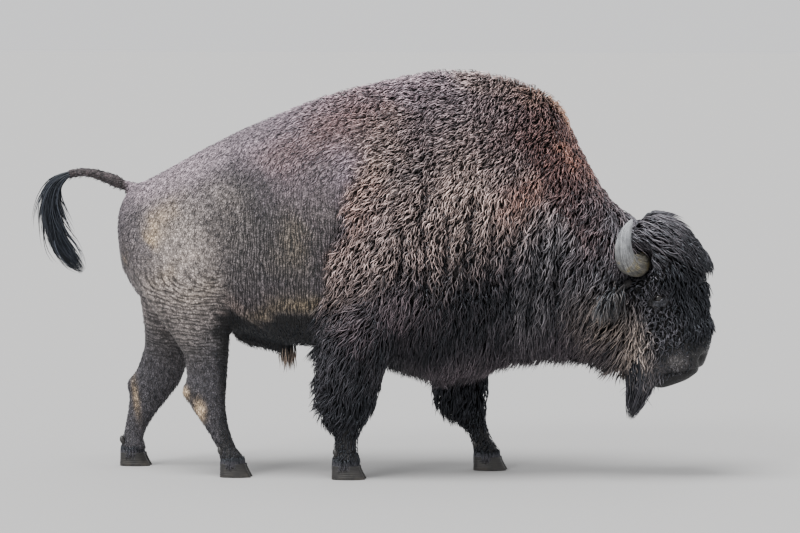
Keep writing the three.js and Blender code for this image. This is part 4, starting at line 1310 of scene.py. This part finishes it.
def tuft_mesh(name, centres, sideways, half_widths, flatness, uvs, colours, tones):
    """Joined tufts. On each, ring k is centre + half-width (cos t * sideways + flatness * sin t * up) at
    three angles t, the last centre is the tip, and up is tangent x sideways."""
    count, rings = centres.shape[0], centres.shape[1] - 1
    tangents = unit(np.gradient(centres, axis=1))
    across = sideways[:, None, :] - tangents * (tangents * sideways[:, None, :]).sum(axis=2, keepdims=True)
    across = unit(across)
    up = np.cross(tangents, across)
    angles = np.radians((90, 210, 330))
    ring_ways = (np.cos(angles)[:, None] * across[:, :rings, None, :]
                 + flatness * np.sin(angles)[:, None] * up[:, :rings, None, :])
    ring_points = centres[:, :rings, None, :] + half_widths[:, :, None, None] * ring_ways
    points = np.concatenate((ring_points.reshape(count, -1, 3), centres[:, rings:]), axis=1)
    each = rings * 3 + 1

    quads = grid_faces(rings, 3)
    last = (rings - 1) * 3
    tip = rings * 3
    triangles = np.array([(last + k, last + (k + 1) % 3, tip) for k in range(3)] + [(2, 1, 0)])
    starts = np.arange(count)[:, None, None] * each
    all_quads = (quads[None] + starts).reshape(-1)
    all_triangles = (triangles[None] + starts).reshape(-1)
    mesh = bpy.data.meshes.new(name)
    mesh.vertices.add(count * each)
    mesh.vertices.foreach_set("co", points.astype(np.float32).ravel())
    mesh.loops.add(len(all_quads) + len(all_triangles))
    mesh.loops.foreach_set("vertex_index", np.concatenate((all_quads, all_triangles)).astype(np.int32))
    quad_count, triangle_count = len(all_quads) // 4, len(all_triangles) // 3
    mesh.polygons.add(quad_count + triangle_count)
    loop_starts = np.concatenate((np.arange(quad_count) * 4,
                                  quad_count * 4 + np.arange(triangle_count) * 3))
    mesh.polygons.foreach_set("loop_start", loop_starts.astype(np.int32))
    mesh.update(calc_edges=True)
    mesh.shade_smooth()

    along = np.append(np.repeat(np.arange(rings) / rings, 3), 1.0)
    around = np.append(np.tile((0.5, 0.0, 1.0), rings), 0.5)
    strand = np.empty((count, each, 3))
    strand[..., 0], strand[..., 1], strand[..., 2] = along, around, tones[:, None]
    set_attribute(mesh, "strand", "FLOAT_VECTOR", strand)
    set_attribute(mesh, "coat", "FLOAT_COLOR", np.repeat(with_alpha(colours), each, axis=0))
    patch = PATCH * (np.stack((around, along), axis=1) - 0.5)
    corner_uvs = (uvs[:, None, :] + patch[None]).reshape(-1, 2)
    layer = mesh.uv_layers.new(name="OFBake")
    order = np.concatenate((all_quads, all_triangles))
    layer.uv.foreach_set("vector", corner_uvs[order].astype(np.float32).ravel())
    return mesh


wave_phase = Mottle(0.16)
lock_lift = Mottle(0.05)
BUNCH = 0.045  # the width over which tips gather


def grow(roots, length, half_width, wave, turns, unruly, rings, least=0.002, most=0.09, gather=0.3,
         flatness=0.75):
    """Tufts on the hide from their roots, with one number or an array for each size.

    A tuft's centre at share s of its length is root + way * length * s + normal * rise + sideways * sway
    + gravity * droop: rise climbs to the coat's depth, held between least and most, by half-way and falls
    as s^2 with the body's curve, sway is a sine of the given turns, and the tips of each bunch are gathered
    towards its middle. unruly is the spread of the ways in radians.
    """
    points, normals, spots = roots
    count = len(points)
    length = np.broadcast_to(length, count) * chance.uniform(0.75, 1.2, count)
    half_width = np.broadcast_to(half_width, count) * chance.uniform(0.75, 1.25, count)
    wave, turns = np.broadcast_to(wave, count), np.broadcast_to(turns, count)
    way = lie_of_hair(points, normals)
    aside = np.cross(normals, way)
    yaw = chance.normal(0, 1, count) * unruly + 0.10 * wave_phase.at(points[:, ::-1] * 1.7)
    way = way * np.cos(yaw)[:, None] + aside * np.sin(yaw)[:, None]
    aside = np.cross(normals, way)

    room = np.clip(room_over(points), least, most)
    room = room * (1 - 0.80 * furrow(*points.T))
    length = length * (1 - 0.45 * furrow(*points.T))
    height = room * np.clip(0.82 + 0.10 * lock_lift.at(points) + chance.normal(0, 0.10, count), 0.45, 1.02)
    s = np.linspace(0, 1, rings + 1)[None, :]
    reach = length[:, None] * s
    rise = height[:, None] * (0.05 + 0.95 * smooth(s, 0.0, 0.5)) - 1.1 * reach ** 2
    rise = np.maximum(rise, 0.15 * height[:, None] * s)
    phase = 0.5 * wave_phase.at(points) + chance.normal(0, 0.07, count)
    angle = 2 * math.pi * (turns[:, None] * s + phase[:, None])
    sway = wave[:, None] * np.sin(angle) * np.minimum(1.0, s / 0.3)
    rise = rise + 0.30 * wave[:, None] * np.cos(angle) * np.minimum(1.0, s / 0.3)
    droop = 0.7 * length * np.maximum(0.0, -normals[:, 2])

    _, group = np.unique(cells_of(points, BUNCH), return_inverse=True)
    group = group.ravel()
    share = 1.0 / np.bincount(group)
    middles = np.stack([np.bincount(group, points[:, k]) * share for k in range(3)], axis=1)
    pull = middles[group] - points
    pull = aside * (pull * aside).sum(axis=1)[:, None] * gather

    centres = (points[:, None, :] + way[:, None, :] * reach[..., None] + normals[:, None, :] * rise[..., None]
               + aside[:, None, :] * sway[..., None] + GRAVITY * (droop[:, None] * s ** 2)[..., None]
               + pull[:, None, :] * (s ** 1.5)[..., None])
    ring = s[:, :rings]
    taper = (0.55 + 0.45 * smooth(ring, 0.0, 0.3)) * (1.0 - ring ** 2.4)
    return centres, aside, half_width[:, None] * taper, flatness, spots


def fur_piece(name, grown, colours, tones, material, slot):
    """A coat piece of grown tufts."""
    centres, aside, half_widths, flatness, spots = grown
    mesh = tuft_mesh(name, centres, aside, half_widths, flatness, spots, colours, tones)
    piece_of(name, mesh, material, slot)


def fur_pieces(name, grown, across, colours, tones, material, slot):
    """Grown tufts as two coat pieces, parted where across, counted to the left, changes its sign."""
    centres, aside, half_widths, flatness, spots = grown
    for word, which in (("right", across < 0), ("left", across >= 0)):
        half = (centres[which], aside[which], half_widths[which], flatness, spots[which])
        fur_piece(f"{name}_{word}", half, colours[which], tones[which], material, slot)


HAIR_SHEEN = (0.80, 0.88, 1.0, 1.0)


def hair_material(name, root_shade, tip_shade, edge_shade, streaks, roughness, specular):
    """Hair: the coat's colour times a step from root to tip, painted shade at the root and lighter tips that
    are partly their own colour and partly painted highlight, one of the tuft's own tone, one of a noise in
    strands along it, and one from its edges to its ridge, painted shade at the edges and painted highlight on
    the ridge."""
    hair = Material(name, Specular_IOR_Level=specular, Specular_Tint=HAIR_SHEEN)
    along, around, tone = hair.parts(hair.attribute("strand", "Vector"))
    ridge = 1.0 - hair.maths("ABSOLUTE", around * 2.0 - 1.0)
    strands = hair.noise(hair.vector(around * streaks, along * 1.2, tone * 37.0), 1.0, 2.0)
    # Painted light: shade at the roots and edges, highlight on the ridge and partly on the tips.
    light = hair.step(along, 0.05, 0.85, root_shade, tip_shade) * hair.step(tone, 0.15, 0.95, 0.32, 1.80)
    light = light * hair.step(strands, 0.30, 0.70, 0.60, 1.35) * hair.step(ridge, 0.05, 0.85, edge_shade, 1.5)
    hair.colour(hair.shade(hair.attribute("coat", "Color"), light))
    hair.roughness(hair.step(strands, 0.3, 0.7, roughness + 0.12, roughness))
    hair.bump(strands, 0.0015)
    return hair


def near_eyes(points):
    """1 on the hide round the eyeballs, which stays free of tufts."""
    return (to_eyes(*in_head(*points.T), stretch=1.25) < 0.042) & (points[:, 0] > BREAST)


def tuft_tones(count, spread):
    """A tone for each tuft: 0.5 + spread times a normal draw, held between 0 and 1."""
    return np.clip(0.5 + spread * chance.normal(size=count), 0, 1)


# The wool of hump, shoulders, ribs, neck, brisket and forelegs.
wool = hair_material("wool", root_shade=0.04, tip_shade=1.92, edge_shade=0.08, streaks=3.2,
                     roughness=0.27, specular=0.55)
WOOL_SPACING = 0.0092
BACK_HEIGHT = 1.42  # in the side view; hump and loin above it, ribs, shoulder and neck below
RIBS_END = 0.22
SHOULDER_END = 0.62


def long_wool(x, y, z):
    """1 under the cape, down to the fetlocks."""
    return cape(x, y, z) * smooth(z, 0.17, 0.27)


def wool_share(points):
    """The share of places that carry wool: the cape's without head and eyes, a quarter thinner low down."""
    x, y, z = points.T
    _, sz = side_view(x, y, z)
    sparse = 0.72 + 0.28 * smooth(sz, 1.15, 1.45)
    return sparse * long_wool(x, y, z) * (1 - front_share(points)) * (1 - near_eyes(points))


roots = scatter(WOOL_SPACING, wool_share)
x, y, z = roots[0].T
long = cape(x, y, z)
_, sz = side_view(x, y, z)
short = smooth(sz, 1.15, 1.50)
length = 0.058 + 0.026 * smooth(z, 0.95, 0.60) + 0.012 * smooth(x, 0.5, 0.9)
length = length * (1 - 0.5 * smooth(z, 0.36, 0.22)) * (0.80 + 0.20 * long) * (1 - 0.36 * short)
wide = (0.0028 + 0.0013 * long) * (1 - 0.24 * short)
wave = (0.0024 + 0.0016 * long) * (1 - 0.25 * short)
colours = coat_colours(roots[0])
tones = tuft_tones(len(x), 0.30)
high = sz > BACK_HEIGHT
WOOL_PARTS = (
    ("loin", 4, high & (x < RIBS_END)), ("hump", 4, high & (x >= RIBS_END)),
    ("ribs", 5, ~high & (x < RIBS_END)), ("shoulder", 5, ~high & (x >= RIBS_END) & (x < SHOULDER_END)),
    ("neck", 5, ~high & (x >= SHOULDER_END)),
)
for part, rings, inside in WOOL_PARTS:
    for word, on_side in (("right", y < 0), ("left", y >= 0)):
        which = on_side & inside
        grown = grow([column[which] for column in roots], length[which], wide[which], wave[which],
                     turns=1.2, unruly=0.22, rings=rings)
        fur_piece(f"wool_{part}_{word}", grown, colours[which], tones[which], wool, "wool")

# The mop of the crown: long locks that spread from a whorl behind the poll, over the forehead and between
# the horns, to a fringe above the eyes.
mop = hair_material("crown_hair", root_shade=0.05, tip_shade=1.95, edge_shade=0.08, streaks=3.0,
                    roughness=0.29, specular=0.66)


def mop_share(points):
    """The share of places that carry the mop: the crown's on the head."""
    hx, _, hz = in_head(*points.T)
    return crown_share(hx, hz, ROOT_FRINGE) * front_share(points)


roots = scatter(WOOL_SPACING, mop_share)
hx, _, hz = in_head(*roots[0].T)
above_fringe = hz - ROOT_FRINGE + fringe_drop(hx)
length = np.clip(0.080 + 0.8 * above_fringe, 0.080, 0.130) * (1 - 0.35 * smooth(hx, 0.10, 0.18))
grown = grow(roots, length, half_width=0.0042, wave=0.0042, turns=1.3, unruly=0.14, rings=7, least=0.030,
             gather=0.5)
fur_piece("crown_mop", grown, coat_colours(roots[0]), tuft_tones(len(hx), 0.28), mop, "wool")

# The face: short tight curls on forehead, nose and round the eyes, longer streaky hair on cheeks and jaw.
curls = hair_material("face_hair", root_shade=0.05, tip_shade=2.10, edge_shade=0.08, streaks=2.6,
                      roughness=0.30, specular=0.68)
FACE_SPACING = 0.0102


def on_muzzle(hx, hz):
    """1 on the muzzle, by smooth steps down the face and forward from the jaw."""
    return smooth(hz, -0.50, -0.60) * smooth(hx, -0.16, -0.06)


def face_share(points):
    """The share of places that carry face hair: the head's without crown, eyes, nose and lips."""
    hx, _, hz = in_head(*points.T)
    bald = smooth(hx, 0.035, 0.06) * smooth(hz, -0.565, -0.60)
    kept = (1 - crown_share(hx, hz, ROOT_FRINGE)) * (1 - np.maximum(bald, smooth(hz, -0.645, -0.66)))
    return front_share(points) * kept * (1 - near_eyes(points)) * (1 - 0.3 * on_muzzle(hx, hz))


roots = scatter(FACE_SPACING, face_share)
hx, hy, hz = in_head(*roots[0].T)
jaw = smooth(hx, -0.03, -0.14)
muzzle = on_muzzle(hx, hz)
brow = smooth(hx, 0.04, 0.11) * smooth(hz, -0.56, -0.44)
streaky = np.maximum(jaw, brow)
grown = grow(roots, (0.028 + 0.028 * jaw + 0.040 * brow) * (1 - 0.55 * muzzle), 0.0042 - 0.0016 * muzzle,
             wave=0.0040 * (1 - 0.7 * muzzle), turns=0.9 + 0.3 * streaky, unruly=0.75 - 0.5 * streaky,
             rings=5, least=0.004 + 0.032 * brow, most=0.017 + 0.03 * streaky, gather=0.2)
fur_pieces("face_hair", grown, hy, coat_colours(roots[0]), tuft_tones(len(hx), 0.30), curls, "wool")

# The short coat of back, flanks, quarters and shanks: thumbnail tufts that lie close.
nap = hair_material("short_hair", root_shade=0.50, tip_shade=1.20, edge_shade=0.22, streaks=2.0,
                    roughness=0.38, specular=0.60)
NAP_SPACING = 0.0134


def nap_share(points):
    """The share of places that carry short hair: all behind the head, fewer under the wool, and almost none
    where the wrinkled hide shows on flank and thigh."""
    x, y, z = points.T
    sx, sz = side_view(x, y, z)
    wrinkled = np.maximum(0.8 * flank_share(sx, sz), thigh_share(sx, sz)) * (np.abs(y) > 0.10)
    return (1 - 0.9 * long_wool(x, y, z)) * (x < BREAST) * smooth(z, 0.066, 0.075) * (1 - 0.92 * wrinkled)


roots = scatter(NAP_SPACING, nap_share)
x, y, z = roots[0].T
shank = smooth(z, 0.62, 0.45)
long = cape(x, y, z) + smooth(x, -0.6, -0.2) * smooth(z, 1.25, 1.5)
longer = np.minimum(long, 1)
grown = grow(roots, 0.016 + 0.020 * longer, 0.0024 + 0.0012 * longer, wave=0.0012, turns=0.8, unruly=0.30,
             rings=3, most=0.0045 - 0.0025 * shank + 0.018 * long, gather=0.0, flatness=0.5)
fur_pieces("short_hair", grown, y, coat_colours(roots[0]), tuft_tones(len(x), 0.25), nap, "hide")


def hanging_locks(starts, ways, length, half_width, rings):
    """Locks that set out along their ways and bend down: start + length (way (s - s^2 / 2) + gravity s^2 / 2)
    and a wave of 4 mm that grows with s."""
    count = len(starts)
    length = length * chance.uniform(0.7, 1.15, count)
    s = np.linspace(0, 1, rings + 1)[None, :, None]
    reach = length[:, None, None]
    centres = starts[:, None, :] + reach * (ways[:, None, :] * (s - s ** 2 / 2) + GRAVITY * s ** 2 / 2)
    sideways = unit(np.cross(ways + (0, 0, 0.01), GRAVITY))
    phase = chance.random((count, 1, 1))
    centres = centres + 0.004 * np.sin(2 * math.pi * (1.3 * s + phase)) * s * sideways[:, None, :]
    ring = s[:, :rings, 0]
    widths = half_width * (0.6 + 0.4 * smooth(ring, 0, 0.3)) * (1 - ring ** 2.4)
    return centres, sideways, widths * chance.uniform(0.7, 1.2, (count, 1))


def lock_piece(name, locks, colour, material, slot, *nodes):
    """A coat piece of free locks of one colour; they take their patches on the unwrapping beside the last
    roots.
    """
    centres, sideways, widths = locks
    count = len(centres)
    spots = np.tile(roots[2][:1], (count, 1)) + 0.02 * chance.random((count, 2))
    colours = np.tile(colour, (count, 1))
    mesh = tuft_mesh(name, centres, sideways, widths, 0.8, spots, colours, chance.random(count))
    piece_of(name, mesh, material, slot, *nodes)


# A short fringe hangs from each pastern over the top of the hooves, round an oval as long and wide as they.
FRINGE_LOCKS = 420
FRINGE_LOW, FRINGE_HIGH = 0.070, 0.094
FRINGE_FLARE = 0.18  # how far the locks lean outwards
HOOF_SLOPE = 0.034  # how much shorter a hoof is at its top
fringes = []
for heel, toe, middle, half in FEET.values():
    turn = chance.uniform(0, 2 * math.pi, FRINGE_LOCKS)
    ahead, outward = np.cos(turn), np.sin(turn)
    centre, half_length = (heel + toe - HOOF_SLOPE) / 2, (toe - heel - HOOF_SLOPE) / 2 - 0.002
    starts = np.stack((centre + half_length * ahead, middle + (2 * half - 0.001) * outward,
                       chance.uniform(FRINGE_LOW, FRINGE_HIGH, FRINGE_LOCKS)), axis=1)
    ways = np.stack((FRINGE_FLARE * ahead, FRINGE_FLARE * outward, np.full(FRINGE_LOCKS, -1.0)), axis=1)
    fringes.append(hanging_locks(starts, unit(ways), length=0.044, half_width=0.0019, rings=4))
locks = [np.concatenate(columns) for columns in zip(*fringes)]
lock_piece("pastern_hair", locks, SOOT * 0.8, curls, "wool")

# Long hair hangs from the rims of the ears, outwards, back and down.
EAR_LOCKS = 260
EAR_HAIR = np.array((0.045, 0.040, 0.038))
for word, side in SIDES:
    rim = from_head(curve_through(EAR_PATH * (1, side, 1), 0.25 + 0.75 * chance.random(EAR_LOCKS)))
    rim += chance.normal(size=(EAR_LOCKS, 3)) * (0.014, 0.010, 0.014)
    away = unit(chance.normal(size=(EAR_LOCKS, 3)) * 0.42 + (-0.50, side * 0.38, -0.60))
    locks = hanging_locks(rim, away, length=0.125, half_width=0.0040, rings=6)
    lock_piece(f"ear_hair_{word}", locks, EAR_HAIR, mop, "wool")

# A brush of brown hair hangs at the mouth of the sheath.
BRUSH_LOCKS = 90
BRUSH_BROWN = np.array((0.210, 0.160, 0.125))
SHEATH_MOUTH = np.array((-0.392, 0.0, 0.590))
brush_starts = SHEATH_MOUTH + chance.normal(size=(BRUSH_LOCKS, 3)) * (0.018, 0.014, 0.010)
brush_ways = unit(chance.normal(size=(BRUSH_LOCKS, 3)) * 0.16 + (0.05, 0, -1.0))
locks = hanging_locks(brush_starts, brush_ways, length=0.112, half_width=0.0040, rings=6)
lock_piece("sheath_brush", locks, BRUSH_BROWN, curls, "wool")

# The beard: a pointed curtain of straight coarse hair under the chin. At each level, from the top down, it is
# an ellipse from rear to front in x, with the half-width given.
BEARD_LOCKS = 520
BEARD_LEVELS = (0.600, 0.450, 0.385, 0.325, 0.262)
BEARD_REAR = (1.130, 1.156, 1.154, 1.152, 1.162)
BEARD_FRONT = (1.300, 1.292, 1.268, 1.238, 1.192)
BEARD_HALF = (0.096, 0.082, 0.064, 0.044, 0.010)
BEARD_MIDDLE = -0.015
BEARD_HAIR_HALF = 0.0052


def beard_locks(count, rings):
    """Locks down the beard: each keeps its place (a, b) in the unit disc of every level's ellipse, and wavers
    by a sine that grows with its share s."""
    out, turn = np.sqrt(chance.random(count)), chance.uniform(0, 2 * math.pi, count)
    a, b = out * np.cos(turn), out * np.sin(turn)
    top = chance.uniform(0.47, 0.58, count)
    higher = 0.17 * chance.random(count) ** 1.3 * (0.35 + np.hypot(a, b))
    tip = np.minimum(BEARD_LEVELS[-1] + higher, top - 0.08)
    s = np.linspace(0, 1, rings + 1)[None, :]
    z = top[:, None] + (tip - top)[:, None] * s
    levels = BEARD_LEVELS[::-1]
    columns = (BEARD_REAR, BEARD_FRONT, BEARD_HALF)
    rear, front, half = (np.interp(z, levels, column[::-1]) for column in columns)
    waver = 0.005 * np.sin(2 * math.pi * (1.4 * s + chance.random(count)[:, None])) * s
    x = (rear + front) / 2 + a[:, None] * (front - rear) / 2 + waver
    y = BEARD_MIDDLE + b[:, None] * half + 0.7 * waver
    ring = s[:, :rings]
    widths = BEARD_HAIR_HALF * (0.7 + 0.3 * smooth(ring, 0, 0.3)) * (1 - ring ** 2.2) * np.ones((count, 1))
    sideways = unit(np.stack((-b, a, np.zeros(count)), axis=1))
    return np.stack((x, y, z), axis=2), sideways, widths


lock_piece("beard_hair", beard_locks(BEARD_LOCKS, 8), SOOT * 0.8, mop, "wool", "beard")

# The tail's switch: long straight black hair from the last third of the dock, in an arch that hangs.
SWITCH_HAIRS = 1100
SWITCH_BLACK = np.array((0.022, 0.025, 0.032))
SWITCH_PATH = np.array(((-1.345, 0, 1.368), (-1.409, 0, 1.3555), (-1.464, 0, 1.312), (-1.490, 0, 1.238),
                        (-1.480, 0, 1.142), (-1.446, 0, 1.042), (-1.394, 0, 0.966), (-1.348, 0, 0.918)))
SWITCH_SHARES = (0.0, 0.13, 0.22, 0.32, 0.46, 0.62, 0.76, 0.88, 0.96, 1.0)
SWITCH_RADII = (0.014, 0.018, 0.034, 0.046, 0.052, 0.054, 0.052, 0.042, 0.028, 0.012)
SWITCH_HAIR_HALF = 0.0030
SWITCH_PAST = 1.02  # hairs may run this far past the path's end, in shares of its length
STRAY_SHARE = 0.10  # of the hairs, which stand off from the rest


def switch_hairs(count, rings):
    """Hairs along the switch: each runs from share u to share v of the path at its own angle, and drifts
    from a third of the switch's radius out to its own share of it, as s^0.7."""
    u = 0.62 * chance.random(count) ** 1.2
    v = np.minimum(u + chance.uniform(0.28, 0.55, count), SWITCH_PAST)
    angle = chance.uniform(0, 2 * math.pi, count)
    stray = np.where(chance.random(count) < STRAY_SHARE, 1.8, 1.0) * np.sqrt(chance.uniform(0.05, 1.0, count))
    s = np.linspace(0, 1, rings + 1)[None, :]
    share = u[:, None] + (v - u)[:, None] * s
    table = np.linspace(0, SWITCH_PAST, 200)
    path = curve_through(SWITCH_PATH, np.clip(table, 0, 1))
    path[table > 1] = path[table <= 1][-1] + np.outer(table[table > 1] - 1, (0.35, 0, -0.45))
    centre = np.stack([np.interp(share, table, path[:, k]) for k in range(3)], axis=2)
    tangent = unit(np.gradient(centre, axis=1))
    aside = np.array((0.0, 1.0, 0.0))
    up = np.cross(tangent, aside)
    radius = np.interp(share, SWITCH_SHARES, SWITCH_RADII) * (0.35 + (stray[:, None] - 0.35) * s ** 0.7)
    wander = 0.004 * np.sin(2 * math.pi * (s + chance.random(count)[:, None])) * s
    offset = (radius * np.cos(angle)[:, None] + wander)[..., None] * aside
    offset = offset + (radius * np.sin(angle)[:, None] + wander)[..., None] * up
    ring = s[:, :rings]
    widths = SWITCH_HAIR_HALF * (0.7 + 0.3 * smooth(ring, 0, 0.3)) * (1 - ring ** 2.5)
    sideways = unit(np.cross(tangent[:, 0], offset[:, -1]))
    return centre + offset, sideways, widths * chance.uniform(0.7, 1.3, (count, 1))


tail_hair = hair_material("tail_hair", root_shade=0.70, tip_shade=1.15, edge_shade=0.45, streaks=2.0,
                          roughness=0.38, specular=0.45)
lock_piece("switch_hair", switch_hairs(SWITCH_HAIRS, 9), SWITCH_BLACK, tail_hair, "wool", "tail_switch")

# ---- Floor and light ----
# A plain matt floor under an even, very slightly blue sky, a broad lamp high above, and a narrower one that
# shines from low behind the animal's right side. They aren't part of the mount.

FLOOR_REACH = 90.0
FLOOR_GREY = (0.417, 0.414, 0.410, 1.0)
SKY = (0.983, 0.987, 1.0, 1.0)
SKY_STRENGTH = 1.008
TOP_SIZE, TOP_STRENGTH = 32, 4.0
KEY_SIZE, KEY_STRENGTH = 16, 1.1

floor_mesh = bpy.data.meshes.new("floor")
floor_corners = [(-FLOOR_REACH, -FLOOR_REACH, 0), (FLOOR_REACH, -FLOOR_REACH, 0),
                 (FLOOR_REACH, FLOOR_REACH, 0), (-FLOOR_REACH, FLOOR_REACH, 0)]
floor_mesh.from_pydata(floor_corners, [], [(0, 1, 2, 3)])
floor = bpy.data.objects.new("floor", floor_mesh)
bpy.context.scene.collection.objects.link(floor)
plaster = Material("floor", Base_Color=FLOOR_GREY, Roughness=0.95)
floor_mesh.materials.append(plaster.made)
world = bpy.data.worlds.new("studio")
world.use_nodes = True
background = world.node_tree.nodes["Background"]
background.inputs["Color"].default_value = SKY
background.inputs["Strength"].default_value = SKY_STRENGTH
bpy.context.scene.world = world


def sun(name, way, size, strength):
    """A far lamp that shines down a direction, as wide as the angle given, so its shadows are soft."""
    data = bpy.data.lights.new(name, "SUN")
    data.angle = math.radians(size)
    data.energy = strength
    light = bpy.data.objects.new(name, data)
    light.rotation_mode = "QUATERNION"
    light.rotation_quaternion = (-Vector(way)).to_track_quat("Z", "Y")
    bpy.context.scene.collection.objects.link(light)


sun("top", (0.25, 0.30, -1.0), TOP_SIZE, TOP_STRENGTH)
sun("key", (0.45, 0.80, -0.60), KEY_SIZE, KEY_STRENGTH)
